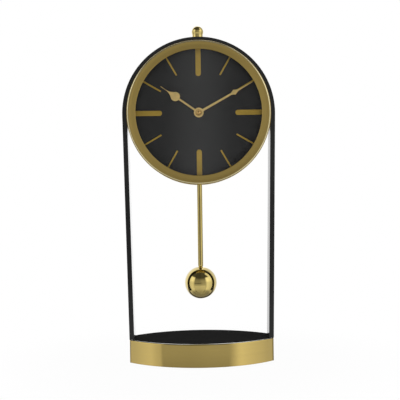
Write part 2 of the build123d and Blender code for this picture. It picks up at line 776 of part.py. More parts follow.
# Battery cell lying across the bay.
with BuildPart() as battery:
    with BuildSketch(Plane.YZ.offset(-battery_length / 2)):
        with Locations((battery_depth, battery_height)):
            Circle(battery_radius)
    extrude(amount=battery_length)
    with BuildSketch(Plane.YZ.offset(battery_length / 2)):
        with Locations((battery_depth, battery_height)):
            Circle(2.7)
    extrude(amount=1.0)
battery.part.label = "battery"
export_step(battery.part, "parts/battery.step")

# Contact strips at both ends of the bay.
contact_depth = 1.55 * battery_radius
contact_height = 1.4 * battery_radius
with BuildPart() as battery_contacts:
    with BuildSketch(Plane.YZ.offset(-bay_half_length)):
        with Locations((battery_depth, battery_height)):
            Rectangle(contact_depth, contact_height)
    extrude(amount=0.4)
    with BuildSketch(Plane.YZ.offset(-bay_half_length + 0.4)):
        with Locations((battery_depth, battery_height)):
            Circle(3.4)
    extrude(amount=bay_half_length - battery_length / 2 - 0.45)
    with BuildSketch(Plane.YZ.offset(bay_half_length - 0.4)):
        with Locations((battery_depth, battery_height)):
            Rectangle(contact_depth, contact_height)
    extrude(amount=0.4)
battery_contacts.part.label = "battery_contacts"
export_step(battery_contacts.part, "parts/battery_contacts.step")

# Back cover of the case, with a window for the movement.
with BuildPart() as back_cover:
    with BuildSketch(upright(cover_back)):
        Circle(case_inner - 0.3)
        with PolarLocations(lug_pitch_radius - 0.6, 4, start_angle=45):
            Circle(screw_clear, mode=Mode.SUBTRACT)
    extrude(amount=cover_thickness)
    with BuildSketch(upright(cover_back, 0, movement_middle)):
        RectangleRounded(movement_width + 1.2, movement_height + 1.2, 3.4)
    extrude(amount=cover_thickness, mode=Mode.SUBTRACT)
back_cover.part.label = "back_cover"
export_step(back_cover.part, "parts/back_cover.step")

# Four screws hold the cover to the lugs.
with BuildPart() as cover_screws:
    with BuildSketch(upright(cover_back + screw_head_height)):
        with PolarLocations(lug_pitch_radius - 0.6, 4, start_angle=45):
            Circle(screw_head_radius)
    extrude(amount=screw_head_height)
    with BuildSketch(upright(cover_back)):
        with PolarLocations(lug_pitch_radius - 0.6, 4, start_angle=45):
            Circle(screw_radius)
    extrude(amount=cover_thickness + lug_thickness)
cover_screws.part.label = "cover_screws"
export_step(cover_screws.part, "parts/cover_screws.step")

# Finial ball on a short neck, with the stud that ties the case to the arch.
ball_height = arch_top + finial_neck + sqrt(finial_radius**2 - finial_neck_radius**2)
washer_bottom = arch_centre_height + case_inner - 2.4
nut_bottom = washer_bottom - 3.2
with BuildPart() as finial:
    with BuildSketch(upright(0, 0, 0)):
        with BuildLine():
            Line((0, nut_bottom - 0.8), (stud_radius, nut_bottom - 0.8))
            Line((stud_radius, nut_bottom - 0.8), (stud_radius, arch_top))
            Line((stud_radius, arch_top), (finial_neck_radius + 0.9, arch_top))
            ThreePointArc((finial_neck_radius + 0.9, arch_top),
                          (finial_neck_radius - 0.15, arch_top + 0.6 * finial_neck),
                          (finial_neck_radius, arch_top + finial_neck))
            ThreePointArc((finial_neck_radius, arch_top + finial_neck), (finial_radius, ball_height),
                          (0, ball_height + finial_radius))
            Line((0, ball_height + finial_radius), (0, nut_bottom - 0.8))
        make_face()
    revolve(axis=Axis.Z)
finial.part.label = "finial"
export_step(finial.part, "parts/finial.step")

# Saddle washer shaped to the inside of the drum, and the nut under it.
with BuildPart() as saddle_washer:
    with BuildSketch(Plane.XY.offset(washer_bottom)):
        Circle(5.5)
        Circle(stud_radius + 0.1, mode=Mode.SUBTRACT)
    extrude(amount=6.0)
    with BuildSketch(upright(8.0)):
        Circle(case_inner - 0.06)
    extrude(amount=16.0, mode=Mode.INTERSECT)
saddle_washer.part.label = "saddle_washer"
export_step(saddle_washer.part, "parts/saddle_washer.step")

with BuildPart() as finial_nut:
    with BuildSketch(Plane.XY.offset(nut_bottom)):
        RegularPolygon(3.5, 6, major_radius=False)
        Circle(stud_radius + 0.03, mode=Mode.SUBTRACT)
    extrude(amount=washer_bottom - nut_bottom)
finial_nut.part.label = "finial_nut"
export_step(finial_nut.part, "parts/finial_nut.step")

# Bracket under the movement box; its two cheeks hold the pendulum pivot and the drive coil.
with BuildPart() as pendulum_bracket:
    with BuildSketch(Plane.XY.offset(movement_bottom - bracket_plate)):
        with Locations((0, -1.0)):
            Rectangle(bracket_width, 2 * cheek_outer + 2.0)
    extrude(amount=bracket_plate)
    for front in (-cheek_outer, cheek_inner):
        with BuildSketch(Plane.XY.offset(magnet_height - cheek_below_magnet)):
            with Locations((0, front + (cheek_outer - cheek_inner) / 2)):
                Rectangle(cheek_width, cheek_outer - cheek_inner)
        extrude(amount=movement_bottom - bracket_plate - magnet_height + cheek_below_magnet)
    with BuildSketch(upright(cheek_outer, 0, pivot_height)):
        Circle(1.0)
    extrude(amount=2 * cheek_outer, mode=Mode.SUBTRACT)
    with BuildSketch(Plane.XY.offset(movement_bottom)):
        with Locations((-peg_x, shell_split - peg_setback), (peg_x, shell_split - peg_setback)):
            Circle(peg_radius)
    extrude(amount=3.0)
pendulum_bracket.part.label = "pendulum_bracket"
export_step(pendulum_bracket.part, "parts/pendulum_bracket.step")

# Steel pin that the hanger swings on.
with BuildPart() as pivot_pin:
    with BuildSketch(upright(cheek_outer, 0, pivot_height)):
        Circle(0.97)
    extrude(amount=2 * cheek_outer)
pivot_pin.part.label = "pivot_pin"
export_step(pivot_pin.part, "parts/pivot_pin.step")

# Drive coil on the front cheek, facing the magnet.
with BuildPart() as drive_coil:
    with BuildSketch(upright(-cheek_inner, 0, magnet_height)):
        Circle(5.6)
    extrude(amount=-1.0)
drive_coil.part.label = "drive_coil"
export_step(drive_coil.part, "parts/drive_coil.step")

# Hanger: flat leaf with a fork at its foot for the rod.
with BuildPart() as pendulum_hanger:
    with BuildSketch(upright(hanger_face, 0, pivot_height)):
        Circle(hanger_half)
        with Locations((0, -hanger_length / 2)):
            Rectangle(2 * hanger_half, hanger_length)
        Circle(0.97 + running_gap, mode=Mode.SUBTRACT)
    extrude(amount=2 * hanger_face)
    with BuildSketch(Plane.XY.offset(hanger_bottom)):
        Rectangle(2 * hanger_half, 2.3)
    extrude(amount=9.0, mode=Mode.SUBTRACT)
    with BuildSketch(upright(hanger_face, 0, hanger_pin_height)):
        Circle(1.2)
    extrude(amount=2 * hanger_face, mode=Mode.SUBTRACT)
    with BuildSketch(upright(-hanger_face + 2.0, 0, magnet_height)):
        Circle(3.55)
    extrude(amount=2.0, mode=Mode.SUBTRACT)
pendulum_hanger.part.label = "pendulum_hanger"
export_step(pendulum_hanger.part, "parts/pendulum_hanger.step")

# Drive magnet set into the leaf.
with BuildPart() as drive_magnet:
    with BuildSketch(upright(-hanger_face + 2.0, 0, magnet_height)):
        Circle(3.5)
    extrude(amount=2.0)
drive_magnet.part.label = "drive_magnet"
export_step(drive_magnet.part, "parts/drive_magnet.step")

# Cross pin that the rod hangs from.
with BuildPart() as hanger_pin:
    with BuildSketch(upright(hanger_face, 0, hanger_pin_height)):
        Circle(1.15)
    extrude(amount=2 * hanger_face)
hanger_pin.part.label = "hanger_pin"
export_step(hanger_pin.part, "parts/hanger_pin.step")

# Pendulum rod with a flat tongue at the top and a threaded end at the foot.
with BuildPart() as pendulum_rod:
    with BuildSketch(upright(0, 0, 0)):
        with BuildLine():
            Polyline((0, rod_foot - thread_length), (thread_radius, rod_foot - thread_length),
                     (thread_radius, rod_foot), (rod_radius - 0.7, rod_foot),
                     (rod_radius, rod_foot + 1.6), (rod_radius, rod_shoulder), (0, rod_shoulder),
                     (0, rod_foot - thread_length))
        make_face()
    revolve(axis=Axis.Z)
    with BuildSketch(Plane.XY.offset(rod_shoulder)):
        Rectangle(5.0, 2.0)
    extrude(amount=hanger_pin_height + 3.0 - rod_shoulder)
    with BuildSketch(upright(1.0, 0, hanger_pin_height)):
        Circle(1.2)
    extrude(amount=2.0, mode=Mode.SUBTRACT)
pendulum_rod.part.label = "pendulum_rod"
export_step(pendulum_rod.part, "parts/pendulum_rod.step")

# Ball bob with a flat on top for the rod and a threaded hole.
with BuildPart() as pendulum_bob:
    with BuildSketch(upright(0, 0, bob_height)):
        with BuildLine():
            flat = rod_foot - bob_height
            hole_end = flat - thread_length - 0.4
            hole = thread_radius + 0.06
            ThreePointArc((0, -bob_radius), (bob_radius, 0), (bob_flat, flat))
            Polyline((bob_flat, flat), (hole, flat), (hole, hole_end), (0, hole_end), (0, -bob_radius))
        make_face()
    revolve(axis=Axis.Z)
pendulum_bob.part.label = "pendulum_bob"
export_step(pendulum_bob.part, "parts/pendulum_bob.step")
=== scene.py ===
import json
from math import acos, atan2, cos, hypot, pi, radians, sin

import bmesh
import bpy
from bpy.props import FloatProperty, FloatVectorProperty, PointerProperty
from mathutils import Matrix, Vector

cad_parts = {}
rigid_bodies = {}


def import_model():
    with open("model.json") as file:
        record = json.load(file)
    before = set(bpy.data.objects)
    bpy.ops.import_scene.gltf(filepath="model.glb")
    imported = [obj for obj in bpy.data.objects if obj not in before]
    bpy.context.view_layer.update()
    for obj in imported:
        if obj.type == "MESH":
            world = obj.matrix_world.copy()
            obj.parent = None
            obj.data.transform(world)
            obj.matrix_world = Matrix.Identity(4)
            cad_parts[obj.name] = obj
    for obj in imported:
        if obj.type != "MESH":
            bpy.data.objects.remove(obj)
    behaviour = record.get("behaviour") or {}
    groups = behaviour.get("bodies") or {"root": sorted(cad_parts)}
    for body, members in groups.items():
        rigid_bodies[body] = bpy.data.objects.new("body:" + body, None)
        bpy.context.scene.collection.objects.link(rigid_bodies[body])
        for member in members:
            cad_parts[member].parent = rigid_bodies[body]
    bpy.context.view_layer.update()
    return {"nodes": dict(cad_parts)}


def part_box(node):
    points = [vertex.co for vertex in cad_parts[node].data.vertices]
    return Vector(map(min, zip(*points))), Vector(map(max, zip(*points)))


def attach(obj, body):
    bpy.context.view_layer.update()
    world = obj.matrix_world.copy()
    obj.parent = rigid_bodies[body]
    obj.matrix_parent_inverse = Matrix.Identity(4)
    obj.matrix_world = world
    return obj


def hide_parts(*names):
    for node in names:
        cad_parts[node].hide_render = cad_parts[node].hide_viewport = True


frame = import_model()

bl_info = {
    "name": "Desk pendulum clock",
    "version": (1, 0, 0),
    "blender": (4, 5, 0),
    "location": "View3D > Sidebar > Clock",
    "description": "Builds the looks of a desk clock with a ball pendulum round its packed solids",
    "category": "Add Mesh",
}

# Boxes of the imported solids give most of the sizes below.
arch_low, arch_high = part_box("arch_frame")
band_low, band_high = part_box("base_band")
bezel_low, bezel_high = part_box("bezel")
dial_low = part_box("dial")[0]
hour_low, hour_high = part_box("hour_hand")
minute_low, minute_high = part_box("minute_hand")
cap_low, cap_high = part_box("hand_cap")
finial_low, finial_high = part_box("finial")
rod_low, rod_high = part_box("pendulum_rod")
bob_low, bob_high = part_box("pendulum_bob")
knob_low, knob_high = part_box("setting_knob")
cell_low, cell_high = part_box("battery")
pad_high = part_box("foot_pads")[1]
base_screw_low, base_screw_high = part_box("base_screws")
cover_screw_low, cover_screw_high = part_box("cover_screws")
contact_low, contact_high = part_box("battery_contacts")

# Limits that the pieces share: closer vertices are merged, places this near to a plane lie on it, flatter edges are
# shaded smooth and sharper ones are rounded. The last is the angle at which the outline of a hand's boss starts.
merge_limit = 2e-6
plane_limit = 1e-5
smooth_angle = radians(32)
sharp_angle = radians(38)
boss_start = -pi / 2 + 0.05


def a_length(name, note, value):
    """A size that a user may change, in metres."""
    return FloatProperty(name=name, description=note, default=value, unit="LENGTH")


def an_angle(name, note, value):
    """An angle that a user may change."""
    return FloatProperty(name=name, description=note, default=value, subtype="ANGLE")


def a_colour(name, note, value):
    """A colour that a user may change."""
    return FloatVectorProperty(name=name, description=note, default=value, subtype="COLOR", size=3)


class ClockSizes(bpy.types.PropertyGroup):
    """Sizes of the clock, in metres."""

    arch_radius: a_length("Arch radius", "Outside radius of the bent bar", arch_high.x)
    bar_thickness: a_length("Bar thickness", "Thickness of the arch bar", 0.0056)
    bar_depth: a_length("Bar depth", "Front to back width of the arch bar", 0.028)
    foot_half_width: a_length("Foot half width", "Half the width across the feet of the arch", 0.0851)
    tongue_thickness: a_length("Tongue thickness", "Thickness of the tongues under the legs", 0.0024)
    tab_length: a_length("Tab length", "Length of the bent tab at a tongue's foot", 0.013)
    dial_height: a_length("Dial height", "Height of the dial's middle", arch_high.z - arch_high.x)
    base_height: a_length("Base height", "Height of the top of the base", band_high.z)
    band_wall: a_length("Band wall", "Wall of the band", 0.0016)
    band_corner: a_length("Band corner", "Radius of the band's four upright corners", 0.0024)
    rim_round: a_length("Rim round", "Rounding of the band's upper edge", 0.0014)
    rim_drop: a_length("Rim drop", "How far the band's edge lies under the top of the base", 0.0004)
    lip_width: a_length("Lip width", "Width of the lip under the floor", 0.005)
    lip_thickness: a_length("Lip thickness", "Thickness of the lip under the floor", 0.0012)
    bezel_width: a_length("Bezel width", "Width of the bezel ring seen from the front", 0.0099)
    bezel_face: a_length("Bezel face", "Thickness of the bezel ring", 0.0016)
    bead_width: a_length("Bead width", "Width of the slope up to the bezel's rim", 0.004)
    bead_height: a_length("Bead height", "Height of the rim over the bezel's face", 0.00035)
    lip_round: a_length("Lip round", "Radius of the burnished outer edge of the bezel", 0.0014)
    bezel_set_back: a_length("Bezel set back", "How far the bezel's face lies behind its box", 0.0008)
    skirt_radius: a_length("Skirt radius", "Outside radius of the bezel's skirt", 0.08275)
    skirt_wall: a_length("Skirt wall", "Wall of the bezel's skirt", 0.0014)
    skirt_length: a_length("Skirt length", "How far the skirt goes into the drum", 0.006)
    quarter_width: a_length("Quarter width", "Width of the four thick markers", 0.0062)
    quarter_length: a_length("Quarter length", "Length of the thick markers", 0.0328)
    hour_width: a_length("Hour width", "Width of the eight thin markers", 0.0019)
    hour_length: a_length("Hour length", "Length of the thin markers", 0.025)
    marker_outer: a_length("Marker reach", "Radius of the markers' outer ends", 0.0757)
    marker_height: a_length("Marker height", "Height of the markers over the dial", 0.0007)
    hour_angle: an_angle("Hour hand angle", "Clock angle of the hour hand", radians(305.1))
    minute_angle: an_angle("Minute hand angle", "Clock angle of the minute hand", radians(61.0))
    hour_hub: a_length("Hour hub", "Radius of the hour hand's boss", 0.0054)
    hour_stem: a_length("Hour stem", "Width of the hour hand's stem", 0.0022)
    hour_reach: a_length("Hour reach", "Length of the hour hand", 0.0539)
    bulge_at: a_length("Bulge place", "Where the hour hand's bulge is centred", 0.0331)
    bulge_radius: a_length("Bulge radius", "Radius of the hour hand's bulge", 0.0054)
    minute_hub: a_length("Minute hub", "Radius of the minute hand's boss", 0.0057)
    minute_reach: a_length("Minute reach", "Length of the minute hand", 0.0722)
    leaf_at: a_length("Leaf place", "Where the minute hand's leaf is widest", 0.0478)
    leaf_half: a_length("Leaf half width", "Half the width of the minute hand's leaf", 0.0033)
    neck_radius: a_length("Neck radius", "Radius of the finial's neck under the ball", 0.0056)
    stud_radius: a_length("Stud radius", "Radius of the finial's stud", 0.002)
    thread_radius: a_length("Thread radius", "Radius of the rod's threaded end", 0.0016)
    thread_length: a_length("Thread length", "Length of the rod's threaded end", 0.007)
    bob_flat: a_length("Bob flat", "Radius of the flat on top of the bob", 0.0034)
    screw_radius: a_length("Screw radius", "Radius of the screws' shanks", 0.00145)
    head_radius: a_length("Screw head radius", "Radius of the screws' heads", 0.0028)
    head_height: a_length("Screw head height", "Height of the screws' heads", 0.0011)
    post_x: a_length("Post place X", "Where the deck's posts stand, across", 0.046)
    tab_screw_y: a_length("Tab screw place Y", "Where the leg tabs' screws stand, in depth", 0.006)
    pad_radius: a_length("Pad radius", "Radius of the rubber pads", 0.006)
    pad_front_x: a_length("Pad place X", "Where the front and back pads stand, across", 0.03)


class ClockColours(bpy.types.PropertyGroup):
    """Colours of the clock's finishes."""

    bar_black: a_colour("Bar black", "Satin paint of the arch", (0.0165, 0.0168, 0.0165))
    deck_black: a_colour("Deck black", "Satin paint of the deck", (0.0145, 0.0145, 0.0143))
    dial_black: a_colour("Dial black", "Satin black of the dial", (0.0085, 0.0085, 0.0086))
    band_gold: a_colour("Band gold", "Brushed gold of the band", (0.60, 0.44, 0.118))
    bezel_gold: a_colour("Bezel gold", "Satin gold of the bezel and the case", (0.55, 0.40, 0.125))
    marker_gold: a_colour("Marker gold", "Satin gold of the markers", (0.62, 0.425, 0.088))
    hand_gold: a_colour("Hand gold", "Satin gold of the hands", (0.90, 0.67, 0.275))
    polished_gold: a_colour("Polished gold", "Polished gold of the pendulum and the finial", (0.68, 0.53, 0.16))
    cap_gold: a_colour("Cap gold", "Satin gold of the cap nut", (0.68, 0.44, 0.15))
    # Paler than the bezel's gold: a painted highlight on the polished lip, whose low roughness is real.
    lip_highlight_gold: a_colour("Lip gold with painted highlight", "Burnished outer edge of the bezel", (0.86, 0.75, 0.44))
    # A pale neutral colour along the band's upper edge: a painted highlight for the bright line there.
    cut_edge: a_colour("Cut edge", "Bright cut edge along the top of the band", (0.86, 0.85, 0.78))
    steel: a_colour("Steel", "Bright steel of pins and contacts", (0.58, 0.58, 0.57))
    zinc: a_colour("Zinc", "Plated steel of screws and washers", (0.45, 0.45, 0.46))
    black_plastic: a_colour("Black plastic", "Moulded plastic of the movement box", (0.016, 0.016, 0.017))
    grey_plastic: a_colour("Grey plastic", "Moulded plastic inside the movement", (0.22, 0.22, 0.23))
    white_plastic: a_colour("White plastic", "Moulded plastic of the small wheels", (0.72, 0.71, 0.68))
    train_brass: a_colour("Train brass", "Brass of the centre wheel", (0.62, 0.45, 0.16))
    copper: a_colour("Copper", "Enamelled wire of the drive coil", (0.50, 0.19, 0.07))
    board_green: a_colour("Board green", "Solder mask of the circuit board", (0.012, 0.10, 0.035))
    cell_wrap: a_colour("Cell wrapper", "Plain wrapper of the battery", (0.028, 0.065, 0.14))
    rubber: a_colour("Rubber", "Rubber of the pads", (0.018, 0.018, 0.018))


class ClockStage(bpy.types.PropertyGroup):
    """Camera and light of the studio."""

    camera_place: FloatVectorProperty(
        name="Camera place", description="Where the camera stands", default=(-0.01034, -1.0, 0.19956),
        subtype="TRANSLATION", size=3)
    camera_yaw: an_angle("Camera yaw", "Turn of the view to the right", 0.01063)
    camera_pitch: an_angle("Camera pitch", "Tilt of the view downwards", 0.008525)
    camera_roll: an_angle("Camera roll", "Turn of the picture in its own plane", 0.01365)
    camera_lens: FloatProperty(
        name="Camera lens", description="Focal length on a 36 mm picture", default=75.39, unit="CAMERA")
    lamp_level: FloatProperty(
        name="Softbox level", description="Brightness of the two tall softboxes", default=1.0)
    front_level: FloatProperty(
        name="Room level", description="Brightness of the room on the camera's side", default=1.0)
    floor_share: FloatProperty(
        name="Floor share", description="How much of the pale floor shows over the white room", default=0.03,
        subtype="FACTOR")


# Modelling steps that several pieces share.


def start_clean():
    """Leaves edit mode and selects nothing."""
    if bpy.context.mode != "OBJECT":
        bpy.ops.object.mode_set(mode="OBJECT")
    bpy.ops.object.select_all(action="DESELECT")


def trace(name, points):
    """Draws a chain of edges through the points, vertex by vertex, and leaves it selected in edit mode."""
    start_clean()
    bpy.ops.mesh.primitive_plane_add(size=0.001)
    piece = bpy.context.object
    piece.name = name
    bpy.ops.object.mode_set(mode="EDIT")
    bpy.ops.mesh.select_mode(type="VERT")
    bpy.ops.mesh.merge(type="CENTER")
    bpy.ops.transform.translate(value=Vector(points[0]))
    for start, end in zip(points, points[1:]):
        step = Vector(end) - Vector(start)
        bpy.ops.mesh.extrude_vertices_move(TRANSFORM_OT_translate={"value": step})
    bpy.ops.mesh.select_all(action="SELECT")
    return piece


def seal(piece):
    """Merges doubled vertices, turns the faces outwards and shades the mesh smooth between its edges."""
    if bpy.context.mode != "EDIT_MESH":
        bpy.ops.object.mode_set(mode="EDIT")
    bpy.ops.mesh.select_all(action="SELECT")
    bpy.ops.mesh.remove_doubles(threshold=merge_limit)
    bpy.ops.mesh.normals_make_consistent(inside=False)
    bpy.ops.object.mode_set(mode="OBJECT")
    bpy.ops.object.shade_smooth_by_angle(angle=smooth_angle)
    return piece


def pick(piece, test, kind="FACE"):
    """Selects only the faces, edges or vertices whose middle passes the test."""
    bpy.ops.mesh.select_mode(type=kind)
    bpy.ops.mesh.select_all(action="DESELECT")
    mesh = bmesh.from_edit_mesh(piece.data)
    parts = {"FACE": mesh.faces, "EDGE": mesh.edges, "VERT": mesh.verts}[kind]
    for part in parts:
        corners = [part] if kind == "VERT" else part.verts
        middle = sum((corner.co for corner in corners), Vector()) / len(corners)
        if test(middle):
            part.select_set(True)
    mesh.select_flush_mode()
    bmesh.update_edit_mesh(piece.data)


def push(step):
    """Extrudes the selected faces by a step."""
    bpy.ops.mesh.extrude_region_move(TRANSFORM_OT_translate={"value": Vector(step)})


def slab(name, points, step):
    """A plate with the traced outline, as thick as the step."""
    piece = trace(name, points)
    bpy.ops.mesh.edge_face_add()
    push(step)
    return seal(piece)


def turned(name, points, centre, axis, steps):
    """A piece turned on a lathe from the traced half section."""
    piece = trace(name, points)
    bpy.ops.mesh.spin(steps=steps, angle=2 * pi, center=centre, axis=axis)
    return seal(piece)


def turned_upright(name, section, steps):
    """A piece turned about the upright axis, from pairs of radius and height."""
    return turned(name, [(out, 0, height) for out, height in section], (0, 0, 0), (0, 0, 1), steps)


def turned_on_dial(sizes, name, section, steps):
    """A piece turned about the dial's axis, from pairs of depth and radius."""
    points = [(0, depth, sizes.dial_height + out) for depth, out in section]
    return turned(name, points, (0, 0, sizes.dial_height), (0, 1, 0), steps)


def soften(piece, width, segments=2):
    """Rounds the sharp edges a little, as a finished part has them, and keeps the flat faces shaded flat."""
    bevel = piece.modifiers.new("Softened edges", "BEVEL")
    bevel.width = width
    bevel.segments = segments
    bevel.limit_method = "ANGLE"
    bevel.angle_limit = sharp_angle
    bpy.ops.object.modifier_apply(modifier=bevel.name)
    bpy.ops.object.shade_smooth_by_angle(angle=smooth_angle)
    even = piece.modifiers.new("Even shading", "WEIGHTED_NORMAL")
    even.keep_sharp = True
    bpy.ops.object.modifier_apply(modifier=even.name)
    return piece


def select_only(piece):
    """Makes a piece the only one selected."""
    start_clean()
    bpy.context.view_layer.objects.active = piece
    piece.select_set(True)


def copied(source, name):
    """A copy with its own mesh, the only piece selected."""
    copy = bpy.data.objects.new(name, source.data.copy())
    bpy.context.scene.collection.objects.link(copy)
    select_only(copy)
    return copy


def smoothed_copy(node, name):
    """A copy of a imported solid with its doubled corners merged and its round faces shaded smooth."""
    piece = copied(frame["nodes"][node], name)
    bpy.ops.object.mode_set(mode="EDIT")
    bpy.ops.mesh.select_all(action="SELECT")
    bpy.ops.mesh.remove_doubles(threshold=merge_limit)
    bpy.ops.mesh.dissolve_limited(angle_limit=radians(0.4))
    bpy.ops.object.mode_set(mode="OBJECT")
    bpy.ops.object.shade_smooth_by_angle(angle=smooth_angle)
    return piece


def placed_copy(piece, name, place):
    """A copy set in place by a matrix that goes into its mesh."""
    copy = copied(piece, name)
    copy.matrix_world = place
    bpy.ops.object.transform_apply(location=True, rotation=True, scale=True)
    return copy


def hand_over(piece, body, slot, finish, *nodes):
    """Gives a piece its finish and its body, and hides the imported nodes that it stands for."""
    piece.data.materials.clear()
    piece.data.materials.append(finish)
    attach(piece, body)
    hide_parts(*nodes)


def second_finish(piece, finish, test):
    """Gives the faces whose middle passes the test another finish."""
    piece.data.materials.append(finish)
    for face in piece.data.polygons:
        face.material_index = 1 if test(face.center) else 0


def dress(finish, *nodes):
    """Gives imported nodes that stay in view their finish."""
    for node in nodes:
        for place in frame["nodes"][node].material_slots:
            place.material = finish


def arc(middle, radius, start, end, count):
    """Points on a round, from one angle to another, as pairs."""
    angles = [start + (end - start) * step / count for step in range(count + 1)]
    return [(middle[0] + radius * cos(angle), middle[1] + radius * sin(angle)) for angle in angles]


def mirrored(half_outline):
    """A closed outline from its right half, drawn from the tail to the tip."""
    return half_outline + [(-across, up) for across, up in reversed(half_outline)]


def eased(start, end, bend_start, bend_end, count):
    """Points on a smooth curve between two places, leaving and arriving along the given bends."""
    points = []
    for step in range(1, count + 1):
        t = step / count
        a, b = 2 * t**3 - 3 * t**2 + 1, t**3 - 2 * t**2 + t
        c, d = -2 * t**3 + 3 * t**2, t**3 - t**2
        points.append(tuple(a * start[i] + b * bend_start[i] + c * end[i] + d * bend_end[i] for i in (0, 1)))
    return points


def on_dial(sizes, across, up, depth, angle=0.0):
    """A place on the dial, given across and along a direction at a clock angle."""
    x = across * cos(angle) + up * sin(angle)
    z = up * cos(angle) - across * sin(angle)
    return (x, depth, sizes.dial_height + z)


def clock_turn(sizes, angle):
    """The matrix that turns a piece clockwise about the dial's middle, seen from the front."""
    middle = Matrix.Translation((0, 0, sizes.dial_height))
    return middle @ Matrix.Rotation(angle, 4, "Y") @ middle.inverted()


# Finishes. Groups put out only masks; each material has its own shader.


def new_group(name, outputs, inputs):
    """An empty shader group with named sockets, and its input and output nodes."""
    group = bpy.data.node_groups.new(name, "ShaderNodeTree")
    for label, kind, value in inputs:
        socket = group.interface.new_socket(label, in_out="INPUT", socket_type=kind)
        if value is not None:
            socket.default_value = value
    for label in outputs:
        group.interface.new_socket(label, in_out="OUTPUT", socket_type="NodeSocketFloat")
    return group, group.nodes.new("NodeGroupInput"), group.nodes.new("NodeGroupOutput")


def noise(tree, vector, scale, detail, roughness):
    """A noise texture node on a vector."""
    node = tree.nodes.new("ShaderNodeTexNoise")
    node.inputs["Detail"].default_value = detail
    node.inputs["Roughness"].default_value = roughness
    if isinstance(scale, float):
        node.inputs["Scale"].default_value = scale
    else:
        tree.links.new(scale, node.inputs["Scale"])
    tree.links.new(vector, node.inputs["Vector"])
    return node.outputs["Fac"]


def remap(tree, value, low, high, to_low, to_high, kind="SMOOTHSTEP"):
    """A Map Range of a value."""
    node = tree.nodes.new("ShaderNodeMapRange")
    node.interpolation_type = kind
    for socket, number in zip(node.inputs[1:5], (low, high, to_low, to_high)):
        socket.default_value = number
    tree.links.new(value, node.inputs["Value"])
    return node.outputs["Result"]


def levels(tree, value, stops, share=1.0):
    """Brightness along a ramp from 0 to 1, given at its stops, times a share."""
    node = tree.nodes.new("ShaderNodeValToRGB")
    points = node.color_ramp.elements
    while len(points) < len(stops):
        points.new(0.5)
    for point, (place, level) in zip(points, stops):
        point.position = place
        point.color = (level * share, level * share, level * share, 1.0)
    tree.links.new(value, node.inputs["Fac"])
    return node.outputs["Color"]


def blend(tree, share, first, second):
    """A mix of two values."""
    node = tree.nodes.new("ShaderNodeMix")
    for socket, value in zip(node.inputs[:1] + node.inputs[2:4], (share, first, second)):
        tree.links.new(value, socket)
    return node.outputs["Result"]


def maths(tree, operation, first, second=0.0):
    """A Math node on one or two sockets or numbers."""
    node = tree.nodes.new("ShaderNodeMath")
    node.operation = operation
    for socket, value in zip(node.inputs, (first, second)):
        if isinstance(value, (int, float)):
            socket.default_value = value
        else:
            tree.links.new(value, socket)
    return node.outputs["Value"]


def product(tree, first, *others):
    """Several values multiplied."""
    for other in others:
        first = maths(tree, "MULTIPLY", first, other)
    return first


def surface_grain():
    """Group: fine grain of paint, plastic or plating, with soft cloudy marks from handling."""
    found = bpy.data.node_groups.get("Surface grain")
    if found:
        return found
    inputs = [("Vector", "NodeSocketVector", None), ("Scale", "NodeSocketFloat", 2000.0),
              ("Mark scale", "NodeSocketFloat", 40.0)]
    group, given, out = new_group("Surface grain", ["Grain", "Marks"], inputs)
    grain = noise(group, given.outputs["Vector"], given.outputs["Scale"], detail=3.0, roughness=0.6)
    clouds = noise(group, given.outputs["Vector"], given.outputs["Mark scale"], detail=4.0, roughness=0.55)
    group.links.new(grain, out.inputs["Grain"])
    group.links.new(remap(group, clouds, 0.38, 0.68, 0.0, 1.0), out.inputs["Marks"])
    return group


def brush_lines():
    """Group: long fine lines of a brushed or turned surface. The vector is stretched along the lines."""
    found = bpy.data.node_groups.get("Brush lines")
    if found:
        return found
    inputs = [("Vector", "NodeSocketVector", None)]
    group, given, out = new_group("Brush lines", ["Lines", "Streaks"], inputs)
    fine = noise(group, given.outputs["Vector"], 1.0, detail=2.0, roughness=0.7)
    wide = noise(group, given.outputs["Vector"], 0.22, detail=3.0, roughness=0.6)
    group.links.new(fine, out.inputs["Lines"])
    group.links.new(wide, out.inputs["Streaks"])
    return group


def new_finish(name):
    """An empty material with a Principled shader; gives the tree, the shader and Object coordinates."""
    finish = bpy.data.materials.new(name)
    finish.use_nodes = True
    tree = finish.node_tree
    shader = tree.nodes["Principled BSDF"]
    place = tree.nodes.new("ShaderNodeTexCoord").outputs["Object"]
    return finish, tree, shader, place


def grain_node(tree, vector, scale, mark_scale):
    """The surface grain group placed in a material."""
    node = tree.nodes.new("ShaderNodeGroup")
    node.node_tree = surface_grain()
    node.inputs["Scale"].default_value = scale
    node.inputs["Mark scale"].default_value = mark_scale
    tree.links.new(vector, node.inputs["Vector"])
    return node


def lines_node(tree, vector):
    """The brush lines group placed in a material."""
    node = tree.nodes.new("ShaderNodeGroup")
    node.node_tree = brush_lines()
    tree.links.new(vector, node.inputs["Vector"])
    return node


def stretched(tree, vector, scale):
    """The vector scaled along each axis."""
    node = tree.nodes.new("ShaderNodeMapping")
    node.inputs["Scale"].default_value = scale
    tree.links.new(vector, node.inputs["Vector"])
    return node.outputs["Vector"]


